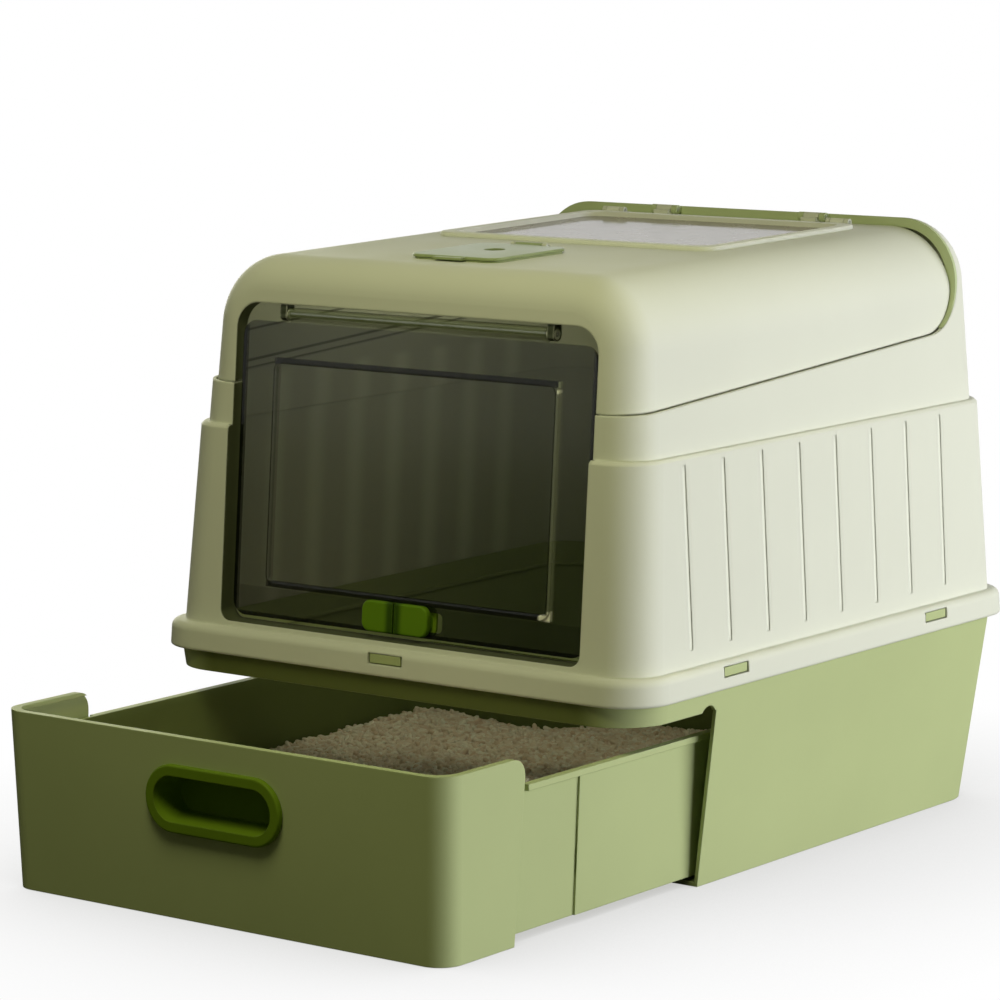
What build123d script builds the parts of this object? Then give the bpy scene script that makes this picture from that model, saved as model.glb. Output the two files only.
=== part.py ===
"""Covered litter box with a pull-out drawer, a flip-up lid, a skylight and a flap door.

Millimetres, +Z up, the front faces -Y. The origin is on the floor under the
middle of the base. The drawer is drawn pulled out, as the photograph shows it.
"""
from build123d import *
import math
import os

os.makedirs("parts", exist_ok=True)

# Small gaps shared by mating pieces
SEAM_GAP = 1.0
FIT_GAP = 0.3
PIN_GAP = 0.05
CUT_REACH = 60.0

# Base housing
BASE_TOP_Z = 145.0
BASE_HALF_W_TOP = 217.0
BASE_HALF_L_TOP = 251.0
BASE_LEAN_SIDE = 18.0
BASE_LEAN_END = 11.0
BASE_HALF_W_FOOT = BASE_HALF_W_TOP - BASE_LEAN_SIDE
BASE_HALF_L_FOOT = BASE_HALF_L_TOP - BASE_LEAN_END
BASE_CORNER_R = 40.0
BASE_WALL = 2.8
BASE_FLOOR = 3.0
RING_HEIGHT = 14.5
RING_BOTTOM_Z = BASE_TOP_Z - RING_HEIGHT
RING_SHELF = 6.0
BAY_SETBACK = 102.0
SIDE_EDGE_Y = BAY_SETBACK - BASE_HALF_L_TOP
NOTCH_R = 9.5
NOTCH_DROP = 5.0
UPSTAND_INSET = 2.5
UPSTAND_WALL = 2.5
RUNNER_INSET = 49.0
RUNNER_X = BASE_HALF_W_FOOT - RUNNER_INSET
RUNNER_W = 9.0
RUNNER_H = 3.5
PANEL_BORDER = 22.0
PANEL_BAR = 16.0
PANEL_DEPTH = 1.2
PANEL_R = 12.0

# Snap clips that show through windows in the hood's rim
CLIP_HALF_W = 14.0
CLIP_LIFT = 10.0
CLIP_HEIGHT = 6.5
CLIP_LOW_Z = BASE_TOP_Z + CLIP_LIFT
CLIP_HIGH_Z = CLIP_LOW_Z + CLIP_HEIGHT
CLIP_SETBACK = 116.0
CLIP_SIDE_Y = BASE_HALF_L_TOP - CLIP_SETBACK
WINDOW_MARGIN = 1.6

# Hood: rim, lower wall, band and rear frame
RIM_OVERHANG_SIDE = 6.5
RIM_OVERHANG_END = 4.0
RIM_HALF_W = BASE_HALF_W_TOP + RIM_OVERHANG_SIDE
RIM_HALF_L = BASE_HALF_L_TOP + RIM_OVERHANG_END
RIM_REST = 0.6
RIM_HEIGHT = 19.4
RIM_BOTTOM_Z = BASE_TOP_Z + RIM_REST
RIM_TOP_Z = RIM_BOTTOM_Z + RIM_HEIGHT
RIM_LEAN = 1.0
RIM_CORNER_R = 36.0
RIM_EDGE_R = 5.5
RIM_FOOT_R = 1.8
HOOD_WALL = 2.6
WALL_STEP_SIDE = 9.0
WALL_STEP_FRONT = 11.0
WALL_LEAN_SIDE = 8.0
WALL_LEAN_FRONT = 12.0
WALL_LEAN_REAR = 6.0
WALL_HEIGHT = 148.0
WALL_HALF_W_FOOT = RIM_HALF_W - WALL_STEP_SIDE
WALL_HALF_W_TOP = WALL_HALF_W_FOOT - WALL_LEAN_SIDE
WALL_FRONT_FOOT = WALL_STEP_FRONT - RIM_HALF_L
WALL_FRONT_TOP = WALL_FRONT_FOOT + WALL_LEAN_FRONT
WALL_REAR_FOOT = RIM_HALF_L - WALL_STEP_SIDE
WALL_REAR_TOP = WALL_REAR_FOOT - WALL_LEAN_REAR
WALL_CORNER_R = 30.0
SHOULDER_Z = RIM_TOP_Z + WALL_HEIGHT
SHOULDER_BEVEL = 2.2
BAND_INSET = 5.0
BAND_HEIGHT = 44.0
LID_HEIGHT = 88.0
FRAME_PROUD = 6.5
SEAM_Z_MID = SHOULDER_Z + BAND_HEIGHT
LID_TOP_Z = SEAM_Z_MID + LID_HEIGHT
FRAME_TOP_Z = LID_TOP_Z + FRAME_PROUD
SIDE_LEAN_DEG = 3.2
FRONT_LEAN_DEG = 4.6
REAR_LEAN_DEG = 3.0
FRAME_CROWN_R = 48.0
FRAME_CORNER_R = 27.0
GROOVE_COUNT = 8
GROOVE_MARGIN_FRONT = 66.0
GROOVE_MARGIN_REAR = 84.5
GROOVE_FIRST_Y = WALL_FRONT_FOOT + GROOVE_MARGIN_FRONT
GROOVE_PITCH = (WALL_REAR_FOOT - GROOVE_MARGIN_REAR - GROOVE_FIRST_Y) / (GROOVE_COUNT - 1)
GROOVE_WIDTH = 4.0
GROOVE_DEPTH = 0.6
GROOVE_END = 12.0

# Sloping seam between the hood and the lid, and the roof's gentle fall to the front
SEAM_RISE_DEG = 3.37
LID_SEAM_GAP = 0.5
ROOF_FALL_DEG = 1.0

# Lid
LID_INSET = 4.0
LID_CROWN_R = 54.0
LID_CORNER_R = 27.0
REAR_FRAME_DEPTH = 40.0
LID_REAR_Y = WALL_REAR_TOP - REAR_FRAME_DEPTH
LID_REAR_CORNER_R = 38.0
TRIM_THICK = 3.0
TRIM_DEPTH = 7.5

# Lid hinge on the rear arch
LID_HINGE_X = 70.0
LID_HINGE_AHEAD = 3.5
LID_HINGE_RISE = 4.0
LID_HINGE_Y = LID_REAR_Y - LID_HINGE_AHEAD
LID_HINGE_Z = LID_TOP_Z + LID_HINGE_RISE
LID_KNUCKLE_R = 3.6
LID_KNUCKLE_HALF = 7.0
LID_LUG_W = 5.0
LID_PIN_R = 1.6

# Door opening and jamb
JAMB_SIDE = 42.0
SILL_HEIGHT = 4.0
LINTEL_HEIGHT = 41.0
OPENING_HALF_W = WALL_HALF_W_TOP - JAMB_SIDE
OPENING_LOW_Z = RIM_TOP_Z + SILL_HEIGHT
OPENING_HIGH_Z = LID_TOP_Z - LINTEL_HEIGHT
OPENING_TOP_R = 20.0
OPENING_FOOT_R = 9.0
JAMB_WALL = 2.4
JAMB_DEPTH = 18.0

# Door flap
DOOR_HINGE_DROP = 7.5
DOOR_HINGE_INSET = 11.5
DOOR_SIDE_GAP = 3.5
DOOR_FOOT_GAP = 3.0
DOOR_HINGE_Z = OPENING_HIGH_Z - DOOR_HINGE_DROP
DOOR_HALF_W = OPENING_HALF_W - DOOR_SIDE_GAP
DOOR_DROP = DOOR_HINGE_Z - OPENING_LOW_Z - DOOR_FOOT_GAP
DOOR_TOP_SPACE = 6.2
DOOR_THICK = 2.6
DOOR_CORNER_R = 12.0
DOOR_BARREL_R = 5.0
DOOR_BARREL_INSET = 44.0
DOOR_BARREL_HALF = DOOR_HALF_W - DOOR_BARREL_INSET
DOOR_ROD_R = 2.0
DOOR_LUG_W = 6.0
DOOR_BUSH_R = 3.6
DOOR_BUSH_W = 1.4
EMBOSS_SIDE = 31.0
EMBOSS_FOOT = 23.5
EMBOSS_HALF_W = DOOR_HALF_W - EMBOSS_SIDE
EMBOSS_TOP_DROP = 33.0
EMBOSS_FOOT_DROP = DOOR_DROP - EMBOSS_FOOT
EMBOSS_RIDGE = 3.4
EMBOSS_PROUD = 1.6
EMBOSS_EDGE_R = 0.7
EMBOSS_CORNER_R = 9.0

# Door latch
LATCH_LIFT = 12.0
LATCH_DROP = DOOR_DROP - LATCH_LIFT
LATCH_HALF_W = 30.0
LATCH_HALF_H = 11.3
LATCH_TRAVEL = 10.5
LATCH_FRONT_T = 4.6
LATCH_GROOVE_W = 3.0
LATCH_GROOVE_DEEP = 2.4
LATCH_CORNER_R = 7.0
LATCH_NECK_HALF_H = 6.6
LATCH_PLATE_T = 1.8
SLOT_HALF_H = 7.2

# Scent box in the roof with its vented lid
SCENT_HALF_W = 40.0
SCENT_SETBACK = 58.0
SCENT_LENGTH = 90.0
SCENT_FRONT_Y = WALL_FRONT_TOP + SCENT_SETBACK
SCENT_REAR_Y = SCENT_FRONT_Y + SCENT_LENGTH
SCENT_CORNER_R = 10.0
SCENT_FLANGE = 4.0
SCENT_FLANGE_T = 1.2
SCENT_DEPTH = 22.0
SCENT_WALL = 1.8
SCENT_LID_T = 2.2
SCENT_HOLE_R = 8.0
SCENT_HOLE_BACK = 52.0
SCENT_HOLE_Y = SCENT_FRONT_Y + SCENT_HOLE_BACK
SCENT_TONGUE_W = 26.0
SCENT_TONGUE_OUT = 5.0
SCENT_TONGUE_T = 1.6
SCENT_HINGE_BACK = 5.0
SCENT_KNUCKLE_R = 2.4
SCENT_KNUCKLE_HALF = 12.0
SCENT_LUG_W = 4.0
SCENT_PIN_R = 1.1
PAD_THICK = 10.0
PAD_MARGIN = 2.0
VENT_SLOT_W = 4.0
VENT_SLOT_L = 52.0
VENT_COUNT = 7
VENT_PITCH = 11.0

# Skylight
SKY_SIDE = 78.5
SKY_SPACE = 53.0
SKY_REAR_SPACE = 28.0
SKY_HALF_W = WALL_HALF_W_TOP - SKY_SIDE
SKY_FRONT_Y = SCENT_REAR_Y + SKY_SPACE
SKY_REAR_Y = LID_REAR_Y - SKY_REAR_SPACE
SKY_CORNER_R = 13.0
SKY_RISE = 3.2
SKY_SKIRT_DEPTH = 4.0
SKY_SKIRT_WALL = 1.8
SKY_SKIRT_INSET = 7.0
SKY_LEDGE = 4.5
SKY_LEDGE_T = 1.5
SKY_SHEET_T = 2.0
SKY_HINGE_SIDE = 22.0
SKY_HINGE_X = SKY_HALF_W - SKY_HINGE_SIDE
SKY_HINGE_BACK = 4.6
SKY_HINGE_RISE = 3.2
SKY_KNUCKLE_R = 3.0
SKY_KNUCKLE_HALF = 6.0
SKY_PIN_R = 1.4
SKY_LUG_W = 4.0

# Drawer
DRAWER_PULL = 200.0
FRONT_SETBACK = 10.0
FRONT_TOP_GAP = 1.0
FRONT_SIDE = 17.0
FRONT_SIDE_LEAN = 4.0
FRONT_LEAN = 4.0
FRONT_Y_CLOSED = FRONT_SETBACK - BASE_HALF_L_TOP
FRONT_TOP_Z = RING_BOTTOM_Z - FRONT_TOP_GAP
FRONT_HALF_W_TOP = BASE_HALF_W_TOP - FRONT_SIDE
FRONT_HALF_W_FOOT = FRONT_HALF_W_TOP - FRONT_SIDE_LEAN
FRONT_CORNER_R = 18.0
FRONT_WALL = 2.6
FRONT_LIP_W = 6.0
FRONT_LIP_T = 3.0
WING_LENGTH_TOP = 89.0
WING_LENGTH_FOOT = 80.0
WING_END_R = 13.0
TRAY_FLOOR_Z = 6.5
TRAY_DROP = 19.5
TRAY_SIDE = 4.5
TRAY_SIDE_LEAN = 5.0
TRAY_SHORT = 32.0
TRAY_TOP_Z = FRONT_TOP_Z - TRAY_DROP
TRAY_HALF_W_TOP = FRONT_HALF_W_TOP - TRAY_SIDE
TRAY_HALF_W_FOOT = TRAY_HALF_W_TOP - TRAY_SIDE_LEAN
TRAY_LENGTH = 2 * BASE_HALF_L_TOP - TRAY_SHORT
TRAY_WALL = 2.4
TRAY_FLOOR_T = 2.6
TRAY_CORNER_R = 20.0
TRAY_STEP_BACK = 154.0
TRAY_STEP_PROUD = 1.6
LIP_PROUD = 4.0
LIP_HEIGHT = 4.5
LIP_START = 92.0
LITTER_DROP = 52.5
LITTER_TOP_Z = TRAY_TOP_Z - LITTER_DROP
FRONT_RIB_SIDE = 70.0
FRONT_RIB_X = FRONT_HALF_W_TOP - FRONT_RIB_SIDE
FRONT_RIB_W = 5.0
FRONT_RIB_MARGIN = 16.0

# Drawer handle
HANDLE_DROP = 43.5
HANDLE_Z = FRONT_TOP_Z - HANDLE_DROP
HANDLE_HALF_W = 60.5
HANDLE_HALF_H = 24.0
HANDLE_RING = 7.5
HANDLE_PROUD = 4.0
HANDLE_DEPTH = 24.0
HANDLE_WALL = 2.0
HANDLE_BACK_SHRINK = 3.0
HANDLE_EDGE_R = 1.6


# Helpers
def rounded_section(z, half_w, y_front, y_rear, radius):
    """Rounded rectangle on a level plane."""
    return Pos(0, (y_front + y_rear) / 2, z) * RectangleRounded(2 * half_w, y_rear - y_front, radius)


def leaning_block(low, high):
    """Solid between two rounded rectangles given as (z, half width, front, rear, radius)."""
    return loft([rounded_section(*low), rounded_section(*high)])


def side_prism(points, half_w):
    """Outline in the YZ plane carried across the whole width, centred on X."""
    outline = make_face(Polyline(*[(0, y, z) for y, z in points], close=True))
    return extrude(outline, amount=half_w, dir=(1, 0, 0), both=True)


def front_prism(face, y_from, y_to):
    """Face drawn in the XZ plane carried from one depth to another."""
    return extrude(Pos(0, y_from, 0) * face, amount=y_to - y_from, dir=(0, 1, 0))


def front_rectangle(half_w, z_low, z_high, radius):
    """Rounded rectangle standing in the XZ plane."""
    plane = Plane(origin=(0, 0, (z_low + z_high) / 2), x_dir=(1, 0, 0), z_dir=(0, -1, 0))
    return plane * RectangleRounded(2 * half_w, z_high - z_low, radius)


def rod_x(radius, x_from, x_to, y, z):
    """Round bar along X."""
    middle = (x_from + x_to) / 2
    return Pos(middle, y, z) * Rot(0, 90, 0) * Cylinder(radius, x_to - x_from)


def block(x_from, x_to, y_from, y_to, z_from, z_to):
    """Plain block by its limits."""
    size = (x_to - x_from, y_to - y_from, z_to - z_from)
    middle = ((x_from + x_to) / 2, (y_from + y_to) / 2, (z_from + z_to) / 2)
    return Pos(*middle) * Box(*size)


def save(name, shape, colour):
    """Write one sub-part as a STEP file and report its size."""
    shape.label = name
    shape.color = Color(*colour)
    export_step(shape, "parts/" + name + ".step")
    size = shape.bounding_box().size
    print(name, len(shape.solids()), "solid(s)", round(size.X, 1), round(size.Y, 1), round(size.Z, 1))


# Lines shared by several parts
def seam_z(y):
    """Height of the sloping seam at a depth."""
    return SEAM_Z_MID + y * math.tan(math.radians(SEAM_RISE_DEG))


def front_y(z):
    """Depth of the lower wall's front face, carried up to any height."""
    slope = (WALL_FRONT_TOP - WALL_FRONT_FOOT) / (SHOULDER_Z - RIM_TOP_Z)
    return WALL_FRONT_FOOT + (z - RIM_TOP_Z) * slope


DOOR_LEAN_DEG = math.degrees(math.atan((WALL_FRONT_TOP - WALL_FRONT_FOOT) / (SHOULDER_Z - RIM_TOP_Z)))
DOOR_HINGE_Y = front_y(DOOR_HINGE_Z) + DOOR_HINGE_INSET
BAND_HALF_W = WALL_HALF_W_TOP - BAND_INSET
FRONT_Y_OPEN = FRONT_Y_CLOSED - DRAWER_PULL


def to_roof(shape):
    """Turn a shape drawn on a level roof onto the roof that falls gently to the front."""
    pivot = Pos(0, LID_REAR_Y, LID_TOP_Z)
    return pivot * Rot(ROOF_FALL_DEG, 0, 0) * pivot.inverse() * shape


def vault(half_w, y_front, y_rear, z_low, z_high, crown_r, corner_r, round_rear, fall_deg):
    """Arched hood shape: leaning sides, rounded crown, rounded front corners, crown falling to the front."""
    rise = z_high - z_low
    narrow = half_w - rise * math.tan(math.radians(SIDE_LEAN_DEG))
    outline = make_face(Polyline((-half_w, 0, z_low), (half_w, 0, z_low), (narrow, 0, z_high),
                                 (-narrow, 0, z_high), close=True))
    crown = [v for v in outline.vertices() if v.Z > z_high - SEAM_GAP]
    outline = fillet(crown, crown_r)
    fall = math.radians(fall_deg)
    start = y_front - CUT_REACH
    length = (y_rear + CUT_REACH - start) / math.cos(fall)
    place = Pos(0, start, (start - LID_REAR_Y) * math.tan(fall))
    body = extrude(place * outline, amount=length, dir=(0, math.cos(fall), math.sin(fall)))
    front_in = rise * math.tan(math.radians(FRONT_LEAN_DEG))
    rear_in = rise * math.tan(math.radians(REAR_LEAN_DEG))
    body = body & side_prism([(y_front, z_low), (y_rear, z_low), (y_rear - rear_in, z_high),
                              (y_front + front_in, z_high)], half_w + CUT_REACH)
    chains = [body.faces().sort_by(Axis.Y)[0]]
    if round_rear:
        chains.append(body.faces().sort_by(Axis.Y)[-1])
    edges = []
    for face in chains:
        edges += [e for e in face.edges() if e.center().Z > z_low + SEAM_GAP]
    return fillet(edges, corner_r)


def band_vault(inset, drop):
    """Surface of the band and rear frame, moved inward by an inset and carried down by a drop."""
    half_w = BAND_HALF_W - inset + drop * math.tan(math.radians(SIDE_LEAN_DEG))
    front = WALL_FRONT_TOP + BAND_INSET + inset - drop * math.tan(math.radians(FRONT_LEAN_DEG))
    rear = WALL_REAR_TOP - BAND_INSET - inset + drop * math.tan(math.radians(REAR_LEAN_DEG))
    return vault(half_w, front, rear, SHOULDER_Z - drop, FRAME_TOP_Z - inset, FRAME_CROWN_R - inset,
                 FRAME_CORNER_R - inset, True, 0)


def lid_vault(inset, z_low):
    """Outer surface of the lid, moved inward by an inset and cut off at a height."""
    drop = SHOULDER_Z - z_low
    half_w = BAND_HALF_W - LID_INSET - inset + drop * math.tan(math.radians(SIDE_LEAN_DEG))
    y_front = WALL_FRONT_TOP + BAND_INSET + SEAM_GAP + inset - drop * math.tan(math.radians(FRONT_LEAN_DEG))
    return vault(half_w, y_front, LID_REAR_Y + 2 * CUT_REACH, z_low, LID_TOP_Z - inset, LID_CROWN_R - inset,
                 LID_CORNER_R - inset, False, ROOF_FALL_DEG)


def lid_region(rear_gap, seam_rise):
    """Space over the sloping seam and ahead of the rear edge."""
    rear = LID_REAR_Y + rear_gap
    far = WALL_FRONT_FOOT - CUT_REACH
    high = FRAME_TOP_Z + CUT_REACH
    outline = make_face(Polyline((0, far, seam_z(far) + seam_rise), (0, rear, seam_z(rear) + seam_rise),
                                 (0, rear, high), (0, far, high), close=True))
    low = [v for v in outline.vertices() if abs(v.Y - rear) < SEAM_GAP and v.Z < high - SEAM_GAP]
    outline = fillet(low, LID_REAR_CORNER_R + rear_gap)
    return extrude(outline, amount=RIM_HALF_W + CUT_REACH, dir=(1, 0, 0), both=True)


def wall_level(z, inset):
    """Size of the lower wall at a height, moved inward by an inset."""
    share = (z - RIM_TOP_Z) / (SHOULDER_Z - RIM_TOP_Z)
    half_w = WALL_HALF_W_FOOT + share * (WALL_HALF_W_TOP - WALL_HALF_W_FOOT) - inset
    front = WALL_FRONT_FOOT + share * (WALL_FRONT_TOP - WALL_FRONT_FOOT) + inset
    rear = WALL_REAR_FOOT + share * (WALL_REAR_TOP - WALL_REAR_FOOT) - inset
    return (z, half_w, front, rear, WALL_CORNER_R - inset)


def wall_block(inset, z_low, z_high):
    """Lower wall's shape between two heights, moved inward by an inset."""
    return leaning_block(wall_level(z_low, inset), wall_level(z_high, inset))


def opening_prism(margin, y_from, y_to):
    """Door opening carried through the front, grown by a margin."""
    half_w = OPENING_HALF_W + margin
    low, high = OPENING_LOW_Z - margin, OPENING_HIGH_Z + margin
    face = make_face(Polyline((-half_w, 0, low), (half_w, 0, low), (half_w, 0, high), (-half_w, 0, high),
                              close=True))
    face = fillet([v for v in face.vertices() if v.Z > high - SEAM_GAP], OPENING_TOP_R + margin)
    face = fillet([v for v in face.vertices() if v.Z < low + SEAM_GAP], OPENING_FOOT_R + margin)
    return front_prism(face, y_from, y_to)


def jamb_slab():
    """Leaning slab just behind the front face, in which the jamb lining lies."""
    low, high = OPENING_LOW_Z - CUT_REACH, OPENING_HIGH_Z + CUT_REACH
    outline = [(front_y(low) - CUT_REACH, low), (front_y(low) + JAMB_DEPTH, low),
               (front_y(high) + JAMB_DEPTH, high), (front_y(high) - CUT_REACH, high)]
    return side_prism(outline, OPENING_HALF_W + CUT_REACH)


def clip_blocks(half_w, z_low, z_high, side_limits, end_limits):
    """Six blocks across the rim: one front, one rear and two on each side."""
    blocks = []
    for sign in (-1, 1):
        near, far = sorted((sign * end_limits[0], sign * end_limits[1]))
        blocks.append(block(-half_w, half_w, near, far, z_low, z_high))
        near, far = sorted((sign * side_limits[0], sign * side_limits[1]))
        for y in (-CLIP_SIDE_Y, CLIP_SIDE_Y):
            blocks.append(block(near, far, y - half_w, y + half_w, z_low, z_high))
    return blocks


def groove_cutter(side, y):
    """Shallow upright groove that follows the lean of the lower wall."""
    low, high = RIM_TOP_Z + GROOVE_END, SHOULDER_Z - GROOVE_END / 2
    slope = (WALL_HALF_W_TOP - WALL_HALF_W_FOOT) / (SHOULDER_Z - RIM_TOP_Z)
    x_low = WALL_HALF_W_FOOT + (low - RIM_TOP_Z) * slope - GROOVE_DEPTH
    x_high = WALL_HALF_W_FOOT + (high - RIM_TOP_Z) * slope - GROOVE_DEPTH
    out = RIM_HALF_W + SEAM_GAP
    outline = make_face(Polyline((side * x_low, 0, low), (side * out, 0, low), (side * out, 0, high),
                                 (side * x_high, 0, high), close=True))
    return extrude(Pos(0, y - GROOVE_WIDTH / 2, 0) * outline, amount=GROOVE_WIDTH, dir=(0, 1, 0))


def base_housing():
    """Leaning tub, open at the front for the drawer, with a ring, upstand and clips."""
    t = BASE_WALL
    top_w, top_l = BASE_HALF_W_TOP, BASE_HALF_L_TOP
    outer = leaning_block((0, BASE_HALF_W_FOOT, -BASE_HALF_L_FOOT, BASE_HALF_L_FOOT, BASE_CORNER_R),
                          (BASE_TOP_Z, top_w, -top_l, top_l, BASE_CORNER_R))
    share = BASE_FLOOR / BASE_TOP_Z
    floor_w = BASE_HALF_W_FOOT + (top_w - BASE_HALF_W_FOOT) * share - t
    floor_l = BASE_HALF_L_FOOT + (top_l - BASE_HALF_L_FOOT) * share - t
    inner = leaning_block((BASE_FLOOR, floor_w, -floor_l, floor_l, BASE_CORNER_R - t),
                          (BASE_TOP_Z, top_w - t, -top_l + t, top_l - t, BASE_CORNER_R - t))
    body = outer - inner

    def level(z, inset):
        return rounded_section(z, top_w - inset, -top_l + inset, top_l - inset, BASE_CORNER_R - inset)

    shelf = extrude(level(BASE_TOP_Z - t, t / 2) - level(BASE_TOP_Z - t, RING_SHELF), amount=t)
    body += shelf
    inset = UPSTAND_INSET + UPSTAND_WALL
    ledge_z = RIM_TOP_Z - HOOD_WALL
    stand = level(BASE_TOP_Z - t / 2, UPSTAND_INSET) - level(BASE_TOP_Z - t / 2, inset)
    body += extrude(stand, amount=ledge_z - BASE_TOP_Z + t / 2)
    reach = HOOD_WALL / 2
    body += clip_blocks(CLIP_HALF_W, CLIP_LOW_Z, CLIP_HIGH_Z, (top_w - inset + SEAM_GAP, RIM_HALF_W - reach),
                        (top_l - inset + SEAM_GAP, RIM_HALF_L - reach))
    for side in (-1, 1):
        x = side * RUNNER_X
        body += block(x - RUNNER_W / 2, x + RUNNER_W / 2, SIDE_EDGE_Y, BASE_HALF_L_FOOT - t, BASE_FLOOR / 2,
                      BASE_FLOOR + RUNNER_H)
    far = -top_l - CUT_REACH
    bay = side_prism([(far, -CUT_REACH), (SIDE_EDGE_Y, -CUT_REACH), (SIDE_EDGE_Y, RING_BOTTOM_Z),
                      (far, RING_BOTTOM_Z)], top_w + CUT_REACH)
    notch = rod_x(NOTCH_R, -top_w - CUT_REACH, top_w + CUT_REACH, SIDE_EDGE_Y - NOTCH_R, RING_BOTTOM_Z - NOTCH_DROP)
    body = body - bay - notch
    panel_w = BASE_HALF_W_FOOT - PANEL_BORDER - PANEL_BAR / 2
    panel_l = (BASE_HALF_L_FOOT - SIDE_EDGE_Y - 2 * PANEL_BORDER - PANEL_BAR) / 2
    middle = (BASE_HALF_L_FOOT + SIDE_EDGE_Y) / 2
    panels = []
    for side in (-1, 1):
        for end in (-1, 1):
            place = Pos(side * (panel_w + PANEL_BAR) / 2, middle + end * (panel_l + PANEL_BAR) / 2, 0)
            panels.append(extrude(place * RectangleRounded(panel_w, panel_l, PANEL_R), amount=PANEL_DEPTH))
    return body - panels


def hood_body():
    """Rim, ribbed lower wall, band and rear frame as one moulding."""
    t = HOOD_WALL
    rim_w, rim_l = RIM_HALF_W - RIM_LEAN, RIM_HALF_L - RIM_LEAN
    rim = leaning_block((RIM_BOTTOM_Z, RIM_HALF_W, -RIM_HALF_L, RIM_HALF_L, RIM_CORNER_R),
                        (RIM_TOP_Z, rim_w, -rim_l, rim_l, RIM_CORNER_R))
    rim = fillet(rim.faces().sort_by(Axis.Z)[-1].edges(), RIM_EDGE_R)
    rim = fillet(rim.faces().sort_by(Axis.Z)[0].edges(), RIM_FOOT_R)
    hollow = leaning_block((RIM_BOTTOM_Z - t, RIM_HALF_W - t, -RIM_HALF_L + t, RIM_HALF_L - t, RIM_CORNER_R - t),
                           (RIM_TOP_Z - t, rim_w - t, -rim_l + t, rim_l - t, RIM_CORNER_R - t))
    rim -= fillet(hollow.faces().sort_by(Axis.Z)[-1].edges(), RIM_EDGE_R - t)
    rim -= wall_block(t, RIM_BOTTOM_Z - t, RIM_TOP_Z + t)
    bevel_z = SHOULDER_Z - SHOULDER_BEVEL
    wall = wall_block(0, RIM_TOP_Z - t / 2, bevel_z)
    wall += leaning_block(wall_level(bevel_z, 0), wall_level(SHOULDER_Z, SHOULDER_BEVEL))
    wall -= wall_block(t, RIM_TOP_Z - t, SHOULDER_Z - t)
    body = rim + wall + band_vault(0, t / 2) - band_vault(t, 2 * t)
    body -= lid_region(SEAM_GAP + TRIM_THICK, 0)
    lining = opening_prism(JAMB_WALL, WALL_FRONT_FOOT - CUT_REACH, WALL_FRONT_TOP + CUT_REACH) & jamb_slab()
    low_lining = lining & wall_block(t / 2, RIM_TOP_Z - t, SHOULDER_Z - t / 2)
    high_lining = (lining & band_vault(t / 2, t / 2)) - lid_region(SEAM_GAP + TRIM_THICK, 0)
    body = body + low_lining + high_lining
    body -= opening_prism(0, WALL_FRONT_FOOT - CUT_REACH, WALL_FRONT_TOP + CUT_REACH)
    cutters = [groove_cutter(side, GROOVE_FIRST_Y + index * GROOVE_PITCH)
               for side in (-1, 1) for index in range(GROOVE_COUNT)]
    window_low = CLIP_LOW_Z - WINDOW_MARGIN / 2
    window_high = CLIP_HIGH_Z + WINDOW_MARGIN / 4
    cutters += clip_blocks(CLIP_HALF_W + WINDOW_MARGIN, window_low, window_high,
                           (rim_w - t - SEAM_GAP, RIM_HALF_W + SEAM_GAP),
                           (rim_l - t - SEAM_GAP, RIM_HALF_L + SEAM_GAP))
    return body - cutters


def rear_arch_trim():
    """Green strip along the front edge of the rear frame, with the hinge lugs of the lid."""
    shell = band_vault(0, 0) - band_vault(TRIM_DEPTH, TRIM_DEPTH)
    strip = shell & (lid_region(SEAM_GAP + TRIM_THICK - FIT_GAP / 3, FIT_GAP) - lid_region(SEAM_GAP, 0))
    strip = strip & block(-RIM_HALF_W, RIM_HALF_W, 0, RIM_HALF_L, SEAM_Z_MID, FRAME_TOP_Z)
    start = LID_KNUCKLE_HALF + FIT_GAP
    face_y = LID_REAR_Y + SEAM_GAP + TRIM_THICK / 2
    half = LID_KNUCKLE_R / 2
    for side in (-1, 1):
        for step in (-1, 1):
            near, far = sorted((side * LID_HINGE_X + step * start, side * LID_HINGE_X + step * (start + LID_LUG_W)))
            lug = rod_x(LID_KNUCKLE_R, near, far, LID_HINGE_Y, LID_HINGE_Z)
            lug += block(near, far, LID_HINGE_Y, face_y, LID_HINGE_Z - half, LID_HINGE_Z + half)
            strip += lug
        reach = start + LID_LUG_W + SEAM_GAP
        strip -= rod_x(LID_PIN_R + PIN_GAP, side * LID_HINGE_X - reach, side * LID_HINGE_X + reach, LID_HINGE_Y,
                       LID_HINGE_Z)
    return strip


def lid_hinge_pins():
    """Two short pins, one through each knuckle of the lid."""
    reach = LID_KNUCKLE_HALF + FIT_GAP + LID_LUG_W
    pins = [rod_x(LID_PIN_R, side * LID_HINGE_X - reach, side * LID_HINGE_X + reach, LID_HINGE_Y, LID_HINGE_Z)
            for side in (-1, 1)]
    return Compound(children=pins)


def rod_brackets(half_reach, width, radius, y, z, y_foot, z_foot):
    """Pair of upright lugs, one at each end of a rod, that run from the rod to a foot."""
    lugs = []
    for side in (-1, 1):
        near, far = sorted((side * half_reach, side * (half_reach + width)))
        lugs.append(rod_x(radius, near, far, y, z))
        lugs.append(block(near, far, min(y - radius, y_foot), y + radius, min(z, z_foot), max(z, z_foot)))
    return lugs


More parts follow.
